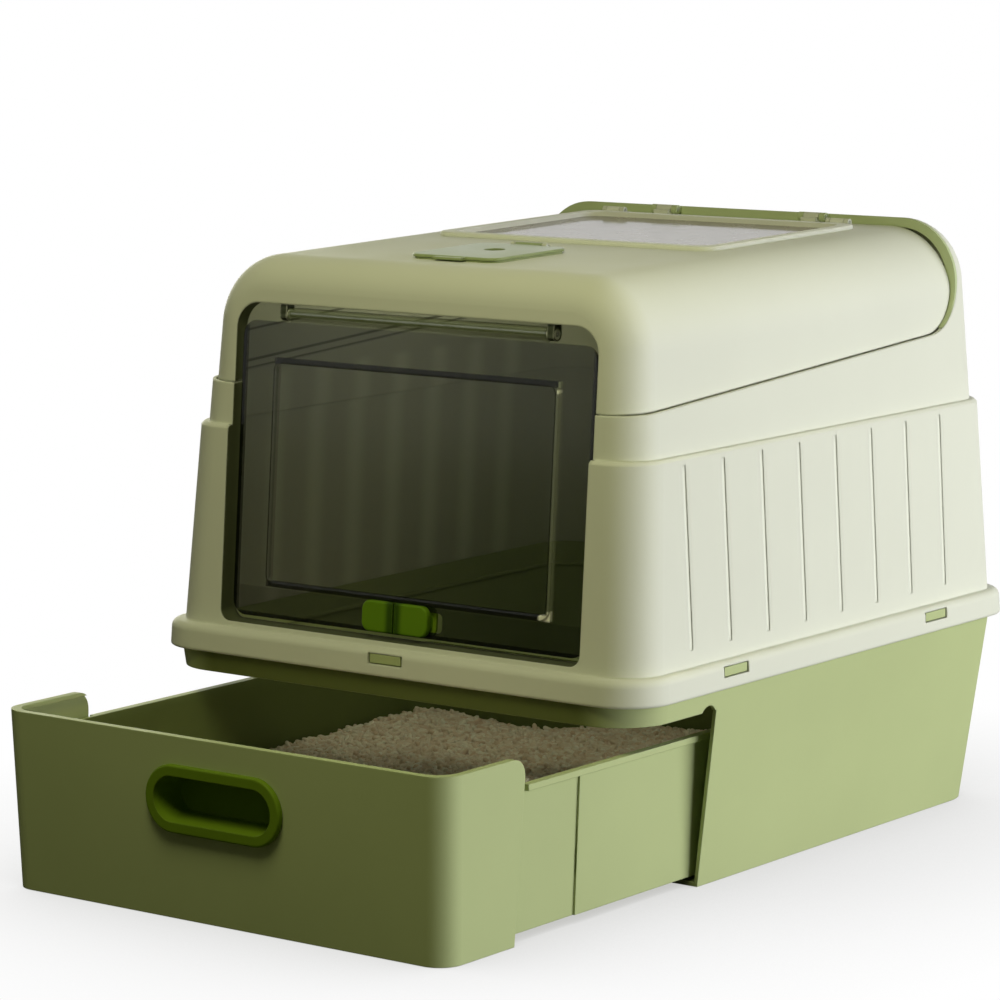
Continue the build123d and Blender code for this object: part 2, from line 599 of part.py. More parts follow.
def dome_lid():
    """Thin dome with its jamb, openings for skylight and scent box, and hinge knuckles."""
    t = HOOD_WALL
    solid = lid_vault(0, SHOULDER_Z) & lid_region(0, LID_SEAM_GAP)
    body = solid - lid_vault(t, SHOULDER_Z - t)
    lining = opening_prism(JAMB_WALL, WALL_FRONT_FOOT - CUT_REACH, WALL_FRONT_TOP + CUT_REACH) & jamb_slab()
    body += lining & lid_vault(t / 2, SHOULDER_Z) & lid_region(0, LID_SEAM_GAP)
    body -= opening_prism(0, WALL_FRONT_FOOT - CUT_REACH, WALL_FRONT_TOP + CUT_REACH)
    lug_x = DOOR_BARREL_HALF + DOOR_BUSH_W
    body += [piece & lid_vault(t / 2, SHOULDER_Z) for piece in
             rod_brackets(lug_x, DOOR_LUG_W, DOOR_BARREL_R, DOOR_HINGE_Y, DOOR_HINGE_Z,
                          DOOR_HINGE_Y - DOOR_BARREL_R, OPENING_HIGH_Z + JAMB_WALL / 2)]
    reach = lug_x + DOOR_LUG_W + SEAM_GAP
    body -= rod_x(DOOR_BUSH_R + PIN_GAP, -reach, reach, DOOR_HINGE_Y, DOOR_HINGE_Z)
    skirt_w = SKY_HALF_W - SKY_SKIRT_INSET + SEAM_GAP
    sky_hole = rounded_section(LID_TOP_Z - 4 * t, skirt_w, SKY_FRONT_Y + SKY_SKIRT_INSET - SEAM_GAP,
                               SKY_REAR_Y - SKY_SKIRT_INSET + SEAM_GAP, SKY_CORNER_R)
    scent_hole = scent_section(LID_TOP_Z - 4 * t, SCENT_FLANGE)
    rims = []
    for hole in (sky_hole, scent_hole):
        rims.append(to_roof(extrude(offset(hole, t) - hole, amount=4 * t - t / 2)))
    body += rims
    body -= [to_roof(extrude(sky_hole, amount=8 * t)), to_roof(extrude(scent_hole, amount=8 * t))]
    for side in (-1, 1):
        low, high = side * LID_HINGE_X - LID_KNUCKLE_HALF, side * LID_HINGE_X + LID_KNUCKLE_HALF
        body += rod_x(LID_KNUCKLE_R, low, high, LID_HINGE_Y, LID_HINGE_Z)
        body += block(low, high, LID_HINGE_Y - 2 * LID_KNUCKLE_R, LID_HINGE_Y, LID_TOP_Z - t / 2, LID_HINGE_Z)
        body -= rod_x(LID_PIN_R + PIN_GAP, low - SEAM_GAP, high + SEAM_GAP, LID_HINGE_Y, LID_HINGE_Z)
    sky_y, sky_z = SKY_REAR_Y + SKY_HINGE_BACK, LID_TOP_Z + SKY_HINGE_RISE
    for side in (-1, 1):
        for step in (-1, 1):
            start = SKY_KNUCKLE_HALF + FIT_GAP
            near, far = sorted((side * SKY_HINGE_X + step * start, side * SKY_HINGE_X + step * (start + SKY_LUG_W)))
            body += to_roof(rod_x(SKY_KNUCKLE_R, near, far, sky_y, sky_z))
            body += to_roof(block(near, far, sky_y - SKY_KNUCKLE_R, sky_y + SKY_KNUCKLE_R, LID_TOP_Z - t / 2, sky_z))
        reach = SKY_KNUCKLE_HALF + FIT_GAP + SKY_LUG_W + SEAM_GAP
        low, high = side * SKY_HINGE_X - reach, side * SKY_HINGE_X + reach
        body -= to_roof(rod_x(SKY_PIN_R + PIN_GAP, low, high, sky_y, sky_z))
    scent_y, scent_z = SCENT_REAR_Y + SCENT_HINGE_BACK, LID_TOP_Z + SCENT_KNUCKLE_R + FIT_GAP
    for side in (-1, 1):
        start = SCENT_KNUCKLE_HALF + FIT_GAP
        near, far = sorted((side * start, side * (start + SCENT_LUG_W)))
        body += to_roof(rod_x(SCENT_KNUCKLE_R, near, far, scent_y, scent_z))
        foot = block(near, far, scent_y - SCENT_KNUCKLE_R, scent_y + SCENT_KNUCKLE_R, LID_TOP_Z - t / 2, scent_z)
        body += to_roof(foot)
    reach = SCENT_KNUCKLE_HALF + FIT_GAP + SCENT_LUG_W + SEAM_GAP
    return body - to_roof(rod_x(SCENT_PIN_R + PIN_GAP, -reach, reach, scent_y, scent_z))


def scent_section(z, inset):
    """Outline of the scent box at a height, moved inward by an inset."""
    return rounded_section(z, SCENT_HALF_W - inset, SCENT_FRONT_Y + inset, SCENT_REAR_Y - inset, SCENT_CORNER_R)


def scent_box_cup():
    """Shallow box that hangs in the roof, with a slotted floor and a thin flange."""
    flange = scent_section(LID_TOP_Z, SEAM_GAP)
    wall = SCENT_FLANGE + FIT_GAP
    low = LID_TOP_Z - SCENT_DEPTH
    body = extrude(flange, amount=SCENT_FLANGE_T)
    body += extrude(scent_section(low, wall), amount=SCENT_DEPTH)
    body -= extrude(scent_section(low + SCENT_WALL, wall + SCENT_WALL), amount=SCENT_DEPTH + SCENT_FLANGE_T)
    middle = (SCENT_FRONT_Y + SCENT_REAR_Y) / 2
    cutters = []
    for index in range(VENT_COUNT):
        y = middle + (index - (VENT_COUNT - 1) / 2) * VENT_PITCH
        slot = Pos(0, y, low - SCENT_WALL) * SlotOverall(VENT_SLOT_L, VENT_SLOT_W)
        cutters.append(extrude(slot, amount=3 * SCENT_WALL))
    return to_roof(body - cutters)


def charcoal_pad():
    """Soft filter pad on the floor of the scent box."""
    inset = SCENT_FLANGE + FIT_GAP + SCENT_WALL + PAD_MARGIN
    return to_roof(extrude(scent_section(LID_TOP_Z - SCENT_DEPTH + SCENT_WALL, inset), amount=PAD_THICK))


def scent_box_lid():
    """Flap with a round vent hole, a finger tongue in front and one knuckle behind."""
    low = LID_TOP_Z + SCENT_FLANGE_T + FIT_GAP
    plate = extrude(scent_section(low, 0), amount=SCENT_LID_T)
    plate = chamfer(plate.faces().sort_by(Axis.Z)[-1].edges(), SCENT_LID_T / 4)
    body = plate + block(-SCENT_TONGUE_W / 2, SCENT_TONGUE_W / 2, SCENT_FRONT_Y - SCENT_TONGUE_OUT,
                         SCENT_FRONT_Y + SCENT_FLANGE, low - FIT_GAP / 2, low + SCENT_TONGUE_T)
    y, z = SCENT_REAR_Y + SCENT_HINGE_BACK, LID_TOP_Z + SCENT_KNUCKLE_R + FIT_GAP
    body += rod_x(SCENT_KNUCKLE_R, -SCENT_KNUCKLE_HALF, SCENT_KNUCKLE_HALF, y, z)
    body += block(-SCENT_KNUCKLE_HALF, SCENT_KNUCKLE_HALF, SCENT_REAR_Y - SCENT_FLANGE, y, low, low + SCENT_LID_T)
    body -= rod_x(SCENT_PIN_R + PIN_GAP, -SCENT_HALF_W, SCENT_HALF_W, y, z)
    hole = Pos(0, SCENT_HOLE_Y, low) * Cylinder(SCENT_HOLE_R, 4 * SCENT_LID_T)
    return to_roof(body - hole)


def scent_hinge_pin():
    """Pin of the scent box lid."""
    reach = SCENT_KNUCKLE_HALF + FIT_GAP + SCENT_LUG_W
    y, z = SCENT_REAR_Y + SCENT_HINGE_BACK, LID_TOP_Z + SCENT_KNUCKLE_R + FIT_GAP
    return to_roof(rod_x(SCENT_PIN_R, -reach, reach, y, z))


def sky_section(z, inset, radius):
    """Outline of the skylight at a height, moved inward by an inset."""
    return rounded_section(z, SKY_HALF_W - inset, SKY_FRONT_Y + inset, SKY_REAR_Y - inset, radius)


def skylight_frame():
    """Raised frame with a skirt and ledge for the clear sheet, and two hinge knuckles."""
    body = extrude(sky_section(LID_TOP_Z, 0, SKY_CORNER_R), amount=SKY_RISE)
    body = fillet(body.faces().sort_by(Axis.Z)[-1].edges(), SKY_RISE / 2)
    low = LID_TOP_Z - SKY_SKIRT_DEPTH
    body += extrude(sky_section(low, SKY_SKIRT_INSET, SKY_CORNER_R), amount=SKY_SKIRT_DEPTH)
    body -= extrude(sky_section(low + SKY_LEDGE_T, SKY_SKIRT_INSET + SKY_SKIRT_WALL, SKY_CORNER_R),
                    amount=SKY_SKIRT_DEPTH + 2 * SKY_RISE)
    body -= extrude(sky_section(low - SKY_LEDGE_T, SKY_SKIRT_INSET + SKY_SKIRT_WALL + SKY_LEDGE, SKY_CORNER_R),
                    amount=SKY_SKIRT_DEPTH)
    y, z = SKY_REAR_Y + SKY_HINGE_BACK, LID_TOP_Z + SKY_HINGE_RISE
    for side in (-1, 1):
        low_x, high_x = side * SKY_HINGE_X - SKY_KNUCKLE_HALF, side * SKY_HINGE_X + SKY_KNUCKLE_HALF
        body += rod_x(SKY_KNUCKLE_R, low_x, high_x, y, z)
        body += block(low_x, high_x, SKY_REAR_Y - SKY_RISE, y, LID_TOP_Z + SKY_RISE / 4, LID_TOP_Z + SKY_RISE)
        body -= rod_x(SKY_PIN_R + PIN_GAP, low_x - SEAM_GAP, high_x + SEAM_GAP, y, z)
    return to_roof(body)


def skylight_sheet():
    """Clear sheet that rests on the frame's ledge."""
    inset = SKY_SKIRT_INSET + SKY_SKIRT_WALL + FIT_GAP
    low = LID_TOP_Z - SKY_SKIRT_DEPTH + SKY_LEDGE_T
    return to_roof(extrude(sky_section(low, inset, SKY_CORNER_R), amount=SKY_SHEET_T))


def skylight_hinge_pins():
    """Two short pins, one at each rear corner of the skylight."""
    y, z = SKY_REAR_Y + SKY_HINGE_BACK, LID_TOP_Z + SKY_HINGE_RISE
    reach = SKY_KNUCKLE_HALF + FIT_GAP + SKY_LUG_W
    pins = []
    for side in (-1, 1):
        pins.append(to_roof(rod_x(SKY_PIN_R, side * SKY_HINGE_X - reach, side * SKY_HINGE_X + reach, y, z)))
    return Compound(children=pins)


def to_door(shape):
    """Turn a shape drawn upright about the origin onto the leaning door's axis."""
    return Pos(0, DOOR_HINGE_Y, DOOR_HINGE_Z) * Rot(-DOOR_LEAN_DEG, 0, 0) * shape


def door_panel():
    """Clear flap with a barrel on top, an embossed border and the latch slot."""
    half_t = DOOR_THICK / 2
    sheet = front_prism(front_rectangle(DOOR_HALF_W, -DOOR_DROP, -DOOR_TOP_SPACE, DOOR_CORNER_R), -half_t, half_t)
    outline = front_rectangle(EMBOSS_HALF_W, -EMBOSS_FOOT_DROP, -EMBOSS_TOP_DROP, EMBOSS_CORNER_R)
    inside = front_rectangle(EMBOSS_HALF_W - EMBOSS_RIDGE, -EMBOSS_FOOT_DROP + EMBOSS_RIDGE,
                             -EMBOSS_TOP_DROP - EMBOSS_RIDGE, EMBOSS_CORNER_R - EMBOSS_RIDGE)
    ridge = front_prism(outline - inside, -half_t - EMBOSS_PROUD, 0)
    ridge = fillet(ridge.faces().sort_by(Axis.Y)[0].edges(), EMBOSS_EDGE_R)
    body = sheet + ridge
    body += rod_x(DOOR_BARREL_R, -DOOR_BARREL_HALF, DOOR_BARREL_HALF, 0, 0)
    body += block(-DOOR_BARREL_HALF, DOOR_BARREL_HALF, -half_t, half_t, -DOOR_CORNER_R, 0)
    body -= rod_x(DOOR_ROD_R + PIN_GAP, -DOOR_HALF_W, DOOR_HALF_W, 0, 0)
    slot_w = LATCH_HALF_W + LATCH_TRAVEL / 2
    slot = front_rectangle(slot_w, -LATCH_DROP - SLOT_HALF_H, -LATCH_DROP + SLOT_HALF_H, SLOT_HALF_H / 2)
    return to_door(body - front_prism(slot, -DOOR_THICK, DOOR_THICK))


def door_hinge_rod():
    """Thin rod through the top barrel of the flap."""
    reach = DOOR_BARREL_HALF + DOOR_BUSH_W + DOOR_LUG_W
    return rod_x(DOOR_ROD_R, -reach, reach, DOOR_HINGE_Y, DOOR_HINGE_Z)


def door_hinge_bushes():
    """Two round bushes that carry the rod in the lid's lugs."""
    start = DOOR_BARREL_HALF + DOOR_BUSH_W / 4
    end = DOOR_BARREL_HALF + DOOR_BUSH_W + DOOR_LUG_W
    bushes = []
    for side in (-1, 1):
        near, far = sorted((side * start, side * end))
        bush = rod_x(DOOR_BUSH_R, near, far, DOOR_HINGE_Y, DOOR_HINGE_Z)
        bushes.append(bush - rod_x(DOOR_ROD_R + PIN_GAP, near - SEAM_GAP, far + SEAM_GAP, DOOR_HINGE_Y, DOOR_HINGE_Z))
    return Compound(children=bushes)


def latch_slider():
    """Two-lobed thumb slider whose neck passes through the slot in the flap."""
    x = -LATCH_TRAVEL / 2
    gap = SEAM_GAP / 4
    front = -DOOR_THICK / 2 - gap
    low, high = -LATCH_DROP - LATCH_HALF_H, -LATCH_DROP + LATCH_HALF_H
    lobes = front_prism(front_rectangle(LATCH_HALF_W, low, high, LATCH_CORNER_R), front - LATCH_FRONT_T, front)
    lobes = fillet(lobes.faces().sort_by(Axis.Y)[0].edges(), LATCH_FRONT_T / 3)
    lobes -= block(-LATCH_GROOVE_W / 2, LATCH_GROOVE_W / 2, front - 2 * LATCH_FRONT_T,
                   front - LATCH_FRONT_T + LATCH_GROOVE_DEEP, low - SEAM_GAP, high + SEAM_GAP)
    neck = front_prism(front_rectangle(LATCH_HALF_W - gap, -LATCH_DROP - LATCH_NECK_HALF_H,
                                       -LATCH_DROP + LATCH_NECK_HALF_H, SLOT_HALF_H / 2), front - gap, -front)
    return to_door(Pos(x, 0, 0) * (lobes + neck))


def latch_back_plate():
    """Plate behind the flap that holds the slider in its slot and carries a short bolt."""
    x = -LATCH_TRAVEL / 2
    back = DOOR_THICK / 2 + SEAM_GAP / 4
    low, high = -LATCH_DROP - LATCH_HALF_H, -LATCH_DROP + LATCH_HALF_H
    plate = front_prism(front_rectangle(LATCH_HALF_W + LATCH_GROOVE_W, low, high, LATCH_CORNER_R), back,
                        back + LATCH_PLATE_T)
    bolt = block(-LATCH_HALF_H, LATCH_HALF_H, back, back + 2 * LATCH_PLATE_T, low, -LATCH_DROP)
    return to_door(Pos(x, 0, 0) * (plate + bolt))


def drawer_front():
    """Front of the drawer with its two wings and a turned-in lip."""
    y_top, y_foot = FRONT_Y_OPEN, FRONT_Y_OPEN + FRONT_LEAN
    rear = FRONT_Y_OPEN + WING_LENGTH_TOP + CUT_REACH
    t = FRONT_WALL
    r = FRONT_CORNER_R
    outer = leaning_block((0, FRONT_HALF_W_FOOT, y_foot, rear, r), (FRONT_TOP_Z, FRONT_HALF_W_TOP, y_top, rear, r))
    step = (FRONT_HALF_W_TOP - FRONT_HALF_W_FOOT) * t / FRONT_TOP_Z
    inner = leaning_block((-t, FRONT_HALF_W_FOOT - step - t, y_foot + step + t, rear + t, r - t),
                          (FRONT_TOP_Z + t, FRONT_HALF_W_TOP + step - t, y_top - step + t, rear + t, r - t))
    lip_in = rounded_section(FRONT_TOP_Z - FRONT_LIP_T, FRONT_HALF_W_TOP - FRONT_LIP_W, y_top + FRONT_LIP_W,
                             rear + FRONT_LIP_W, r - t)
    lip = (outer & block(-FRONT_HALF_W_TOP, FRONT_HALF_W_TOP, y_top, rear, FRONT_TOP_Z - FRONT_LIP_T, FRONT_TOP_Z))
    body = (outer - inner) + (lip - extrude(lip_in, amount=2 * FRONT_LIP_T))
    edge = make_face(Polyline((0, FRONT_Y_OPEN - CUT_REACH, -CUT_REACH),
                              (0, FRONT_Y_OPEN + WING_LENGTH_FOOT, -CUT_REACH),
                              (0, FRONT_Y_OPEN + WING_LENGTH_FOOT, 0),
                              (0, FRONT_Y_OPEN + WING_LENGTH_TOP, FRONT_TOP_Z),
                              (0, FRONT_Y_OPEN - CUT_REACH, FRONT_TOP_Z), close=True))
    top = [v for v in edge.vertices() if v.Z > FRONT_TOP_Z - SEAM_GAP and v.Y > FRONT_Y_OPEN]
    edge = fillet(top, WING_END_R)
    body = body & extrude(edge, amount=FRONT_HALF_W_TOP + CUT_REACH, dir=(1, 0, 0), both=True)
    seat_y = FRONT_Y_OPEN + FRONT_LEAN + t + SEAM_GAP
    for x in (-FRONT_RIB_X, FRONT_RIB_X):
        body += outer & block(x - FRONT_RIB_W / 2, x + FRONT_RIB_W / 2, FRONT_Y_OPEN, seat_y, FRONT_RIB_MARGIN,
                              TRAY_TOP_Z - FRONT_RIB_MARGIN)
    y_hole = FRONT_Y_OPEN - CUT_REACH
    margin = FIT_GAP + HANDLE_WALL - HANDLE_RING
    hole = oval(HANDLE_HALF_W + margin, HANDLE_HALF_H + margin)
    return body - extrude(Pos(0, y_hole, HANDLE_Z) * hole, amount=2 * CUT_REACH, dir=(0, 1, 0))


def oval(half_w, half_h):
    """Long rounded outline standing in the XZ plane about the origin."""
    plane = Plane(origin=(0, 0, 0), x_dir=(1, 0, 0), z_dir=(0, -1, 0))
    return plane * SlotOverall(2 * half_w, 2 * half_h)


def drawer_handle():
    """Oval finger cup with a proud ring, set into the drawer's front."""
    lean = FRONT_LEAN * (FRONT_TOP_Z - HANDLE_Z) / FRONT_TOP_Z
    face_y = FRONT_Y_OPEN + lean - FRONT_LEAN * HANDLE_HALF_H / FRONT_TOP_Z
    inner_w, inner_h = HANDLE_HALF_W - HANDLE_RING, HANDLE_HALF_H - HANDLE_RING
    ring = extrude(Pos(0, face_y - HANDLE_PROUD, HANDLE_Z) * oval(HANDLE_HALF_W, HANDLE_HALF_H), amount=HANDLE_PROUD,
                   dir=(0, 1, 0))
    ring = fillet(ring.faces().sort_by(Axis.Y)[0].edges(), HANDLE_EDGE_R)
    back = Pos(0, face_y + HANDLE_DEPTH, HANDLE_Z)
    front = Pos(0, face_y - HANDLE_EDGE_R, HANDLE_Z)
    w, s = HANDLE_WALL, HANDLE_BACK_SHRINK
    cup = loft([front * oval(inner_w + w, inner_h + w), back * oval(inner_w + w - s, inner_h + w - s)])
    mouth = Pos(0, face_y - HANDLE_PROUD - w, HANDLE_Z)
    floor = Pos(0, face_y + HANDLE_DEPTH - w, HANDLE_Z)
    cavity = loft([mouth * oval(inner_w, inner_h), floor * oval(inner_w - s, inner_h - s)])
    return ring + cup - cavity


def drawer_tray():
    """Deep litter tray with stepped sides and an outward lip."""
    y0 = FRONT_Y_OPEN + FRONT_LEAN + FRONT_WALL + SEAM_GAP
    y1 = FRONT_Y_OPEN + FRONT_LEAN + TRAY_LENGTH
    t = TRAY_WALL
    lean = TRAY_HALF_W_TOP - TRAY_HALF_W_FOOT
    outer = leaning_block((TRAY_FLOOR_Z, TRAY_HALF_W_FOOT, y0, y1 - lean, TRAY_CORNER_R),
                          (TRAY_TOP_Z, TRAY_HALF_W_TOP, y0, y1, TRAY_CORNER_R))
    step_y = FRONT_Y_OPEN + TRAY_STEP_BACK
    p = TRAY_STEP_PROUD
    proud = leaning_block((TRAY_FLOOR_Z, TRAY_HALF_W_FOOT + p, y0, y1 - lean + p, TRAY_CORNER_R + p),
                          (TRAY_TOP_Z, TRAY_HALF_W_TOP + p, y0, y1 + p, TRAY_CORNER_R + p))
    proud = proud & block(-RIM_HALF_W, RIM_HALF_W, step_y, y1 + 2 * p, TRAY_FLOOR_Z, TRAY_TOP_Z)
    wide = TRAY_HALF_W_TOP + LIP_PROUD
    lip = extrude(rounded_section(TRAY_TOP_Z - LIP_HEIGHT, wide, y0, y1 + LIP_PROUD, TRAY_CORNER_R), amount=LIP_HEIGHT)
    lip_y = FRONT_Y_OPEN + LIP_START
    lip = lip & block(-RIM_HALF_W, RIM_HALF_W, lip_y, y1 + 2 * LIP_PROUD, TRAY_FLOOR_Z, TRAY_TOP_Z)
    body = outer + proud + lip - tray_inside(TRAY_FLOOR_Z + TRAY_FLOOR_T, TRAY_TOP_Z + t, t)
    margin = HANDLE_WALL + SEAM_GAP - HANDLE_RING
    hole = oval(HANDLE_HALF_W + margin, HANDLE_HALF_H + margin)
    return body - extrude(Pos(0, y0 - t, HANDLE_Z) * hole, amount=3 * t, dir=(0, 1, 0))


def tray_inside(z_low, z_high, inset):
    """Hollow of the tray between two heights, moved inward from its outside by an inset."""
    y0 = FRONT_Y_OPEN + FRONT_LEAN + FRONT_WALL + SEAM_GAP
    y1 = FRONT_Y_OPEN + FRONT_LEAN + TRAY_LENGTH
    slope = (TRAY_HALF_W_TOP - TRAY_HALF_W_FOOT) / (TRAY_TOP_Z - TRAY_FLOOR_Z)

    def at(z):
        spread = (z - TRAY_TOP_Z) * slope
        return (z, TRAY_HALF_W_TOP + spread - inset, y0 + inset, y1 + spread - inset, TRAY_CORNER_R - inset)

    return leaning_block(at(z_low), at(z_high))


def litter_bed():
    """Level bed of litter in the tray."""
    return tray_inside(TRAY_FLOOR_Z + TRAY_FLOOR_T, LITTER_TOP_Z, TRAY_WALL + FIT_GAP)


# Colours only tell the pieces apart here
SAGE = (0.69, 0.74, 0.53)
CREAM = (0.86, 0.87, 0.80)
DARK_GREEN = (0.22, 0.34, 0.08)
SMOKE = (0.35, 0.38, 0.33)
CLEAR = (0.67, 0.64, 0.64)
STEEL = (0.70, 0.71, 0.72)
BLACK = (0.15, 0.15, 0.15)
LITTER = (0.59, 0.50, 0.42)

save("base_housing", base_housing(), SAGE)
save("hood_body", hood_body(), CREAM)
save("rear_arch_trim", rear_arch_trim(), SAGE)
save("lid_hinge_pins", lid_hinge_pins(), STEEL)
save("dome_lid", dome_lid(), CREAM)
save("scent_box_cup", scent_box_cup(), SAGE)
save("charcoal_pad", charcoal_pad(), BLACK)
save("scent_box_lid", scent_box_lid(), SAGE)
save("scent_hinge_pin", scent_hinge_pin(), STEEL)
save("skylight_frame", skylight_frame(), CREAM)
save("skylight_sheet", skylight_sheet(), CLEAR)
save("skylight_hinge_pins", skylight_hinge_pins(), STEEL)
save("door_panel", door_panel(), SMOKE)
save("door_hinge_rod", door_hinge_rod(), STEEL)
save("door_hinge_bushes", door_hinge_bushes(), CREAM)
save("latch_slider", latch_slider(), DARK_GREEN)
save("latch_back_plate", latch_back_plate(), DARK_GREEN)
save("drawer_front", drawer_front(), SAGE)
save("drawer_handle", drawer_handle(), DARK_GREEN)
save("drawer_tray", drawer_tray(), SAGE)
save("litter_bed", litter_bed(), LITTER)
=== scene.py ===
"""Looks of a covered litter box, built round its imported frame.

Every length is in metres, in the frame's own axes: +Z up, the door faces -Y.
The CAD nodes keep their meshes and get finishes, and only the litter is new.
New pieces are surfaces worked out as whole arrays, and each finish is a small
class that writes its own shader nodes.
"""

import logging
from dataclasses import dataclass, field
from enum import Enum

import bpy
import numpy as np
from mathutils import Matrix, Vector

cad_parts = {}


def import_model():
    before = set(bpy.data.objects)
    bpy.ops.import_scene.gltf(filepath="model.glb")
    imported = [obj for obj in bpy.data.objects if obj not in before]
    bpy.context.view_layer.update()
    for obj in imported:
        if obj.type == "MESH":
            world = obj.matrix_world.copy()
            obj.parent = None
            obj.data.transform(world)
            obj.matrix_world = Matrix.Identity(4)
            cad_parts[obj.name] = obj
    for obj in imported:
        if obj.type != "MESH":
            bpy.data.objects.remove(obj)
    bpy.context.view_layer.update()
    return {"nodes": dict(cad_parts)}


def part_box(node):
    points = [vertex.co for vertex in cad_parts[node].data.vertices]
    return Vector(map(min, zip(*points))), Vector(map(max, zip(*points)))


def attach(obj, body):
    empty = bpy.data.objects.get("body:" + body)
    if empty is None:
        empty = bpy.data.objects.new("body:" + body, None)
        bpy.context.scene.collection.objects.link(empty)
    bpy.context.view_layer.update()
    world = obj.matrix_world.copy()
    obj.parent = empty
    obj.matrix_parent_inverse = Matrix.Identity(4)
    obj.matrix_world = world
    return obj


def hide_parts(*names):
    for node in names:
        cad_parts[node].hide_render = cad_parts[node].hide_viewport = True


LOG = logging.getLogger("litter_box")
WHITE = (1.0, 1.0, 1.0)
NOISE_SPAN = (0.3, 0.7)
EDGE_SAMPLES = 4
Socket = bpy.types.NodeSocket


def toned(colour: tuple, factor: float) -> tuple:
    """Colour times a factor, with no part above 1."""
    return tuple(min(1.0, part * factor) for part in colour)


@dataclass(frozen=True)
class Noise:
    """One noise texture: scale per metre, octaves of detail, and stretch along X, Y and Z."""

    scale: float
    detail: float
    stretch: tuple = (1.0, 1.0, 1.0)


@dataclass(frozen=True)
class Relief:
    """Bump on a surface: its strength, and its depth in metres."""

    strength: float
    depth: float


@dataclass(frozen=True)
class Span:
    """Stretch of a value from low to high, with the half width of its soft ends."""

    low: float
    high: float
    soft: float


class Nodes:
    """A node tree under construction, with short calls for the nodes that the finishes use."""

    def __init__(self, tree: bpy.types.NodeTree) -> None:
        """Start from an empty tree.

        Args:
            tree: Node tree to fill.
        """
        self.tree = tree
        self.tree.nodes.clear()

    def node(self, kind: str) -> bpy.types.Node:
        """Add one shader node."""
        return self.tree.nodes.new(f"ShaderNode{kind}")

    def link(self, source: Socket, target: Socket) -> None:
        """Join two sockets."""
        self.tree.links.new(source, target)

    def put(self, value: object, target: Socket) -> None:
        """Link a socket to a target, or write a constant on it.

        Args:
            value: Socket, number or (red, green, blue).
            target: Socket of a node that takes it.
        """
        if isinstance(value, Socket):
            self.link(value, target)
        elif isinstance(value, tuple):
            target.default_value = (*value, 1.0)
        else:
            target.default_value = value

    def math(self, kind: str, *values: object) -> Socket:
        """One Math node.

        Args:
            kind: Operation of the node.
            values: Sockets or plain numbers, in the node's order.

        Returns:
            The result's socket.
        """
        node = self.node("Math")
        node.operation = kind
        for slot, value in zip(node.inputs, values):
            self.put(value, slot)
        return node.outputs[0]

    def times(self, first: object, *others: object) -> Socket:
        """Product of sockets or plain numbers."""
        for other in others:
            first = self.math("MULTIPLY", first, other)
        return first

    def most(self, first: object, *others: object) -> Socket:
        """Largest of sockets or plain numbers."""
        for other in others:
            first = self.math("MAXIMUM", first, other)
        return first

    def minus(self, first: object, second: object) -> Socket:
        """First value less the second."""
        return self.math("SUBTRACT", first, second)

    def away(self, value: Socket) -> Socket:
        """Distance of a value from 0."""
        return self.math("ABSOLUTE", value)

    def parts(self, vector: Socket) -> tuple:
        """X, Y and Z of a vector."""
        node = self.node("SeparateXYZ")
        self.link(vector, node.inputs[0])
        return node.outputs[0], node.outputs[1], node.outputs[2]

    def rise(self, value: Socket, start: float, end: float) -> Socket:
        """Smooth step from 0 at start to 1 at end, which may be the lower of the two.

        Args:
            value: Socket with the position on the step.
            start: Value where the step is 0.
            end: Value where the step is 1.

        Returns:
            The step's socket.
        """
        node = self.node("MapRange")
        node.interpolation_type = "SMOOTHSTEP"
        node.inputs["From Min"].default_value = start
        node.inputs["From Max"].default_value = end
        self.link(value, node.inputs["Value"])
        return node.outputs[0]

    def span(self, value: Socket, span: Span) -> Socket:
        """1 inside a span and 0 outside it.

        Args:
            value: Socket with the value to test.
            span: Stretch that counts as inside.

        Returns:
            The mark's socket.
        """
        up = self.rise(value, span.low - span.soft, span.low + span.soft)
        down = self.rise(value, span.high - span.soft, span.high + span.soft)
        return self.times(up, self.minus(1.0, down))

    def block(self, *pairs: tuple) -> Socket:
        """1 where every value lies in its span, from (value, span) pairs."""
        return self.times(*[self.span(value, span) for value, span in pairs])

    def mix(self, share: Socket, first: object, second: object) -> Socket:
        """Mix two colours by a 0..1 share.

        Args:
            share: Socket with the share of the second colour.
            first: Colour socket or (red, green, blue).
            second: Colour socket or (red, green, blue).

        Returns:
            The mixed colour's socket.
        """
        node = self.node("Mix")
        node.data_type = "RGBA"
        self.link(share, node.inputs["Factor"])
        for name, value in (("A", first), ("B", second)):
            self.put(value, next(slot for slot in node.inputs if slot.name == name and slot.type == "RGBA"))
        return next(slot for slot in node.outputs if slot.type == "RGBA")

    def source(self, kind: str, colour: object, strength: object = 1.0) -> Socket:
        """Shader that gives light.

        Args:
            kind: Background or Emission.
            colour: Colour socket or (red, green, blue).
            strength: Socket or plain number.

        Returns:
            The shader's socket.
        """
        node = self.node(kind)
        self.put(colour, node.inputs["Color"])
        self.put(strength, node.inputs["Strength"])
        return node.outputs[0]

    def either(self, share: Socket, first: Socket, second: Socket) -> Socket:
        """Mix two shaders by a 0..1 share.

        Args:
            share: Socket with the share of the second shader.
            first: First shader's socket.
            second: Second shader's socket.

        Returns:
            The mixed shader's socket.
        """
        node = self.node("MixShader")
        for slot, value in zip(node.inputs, (share, first, second)):
            self.link(value, slot)
        return node.outputs[0]


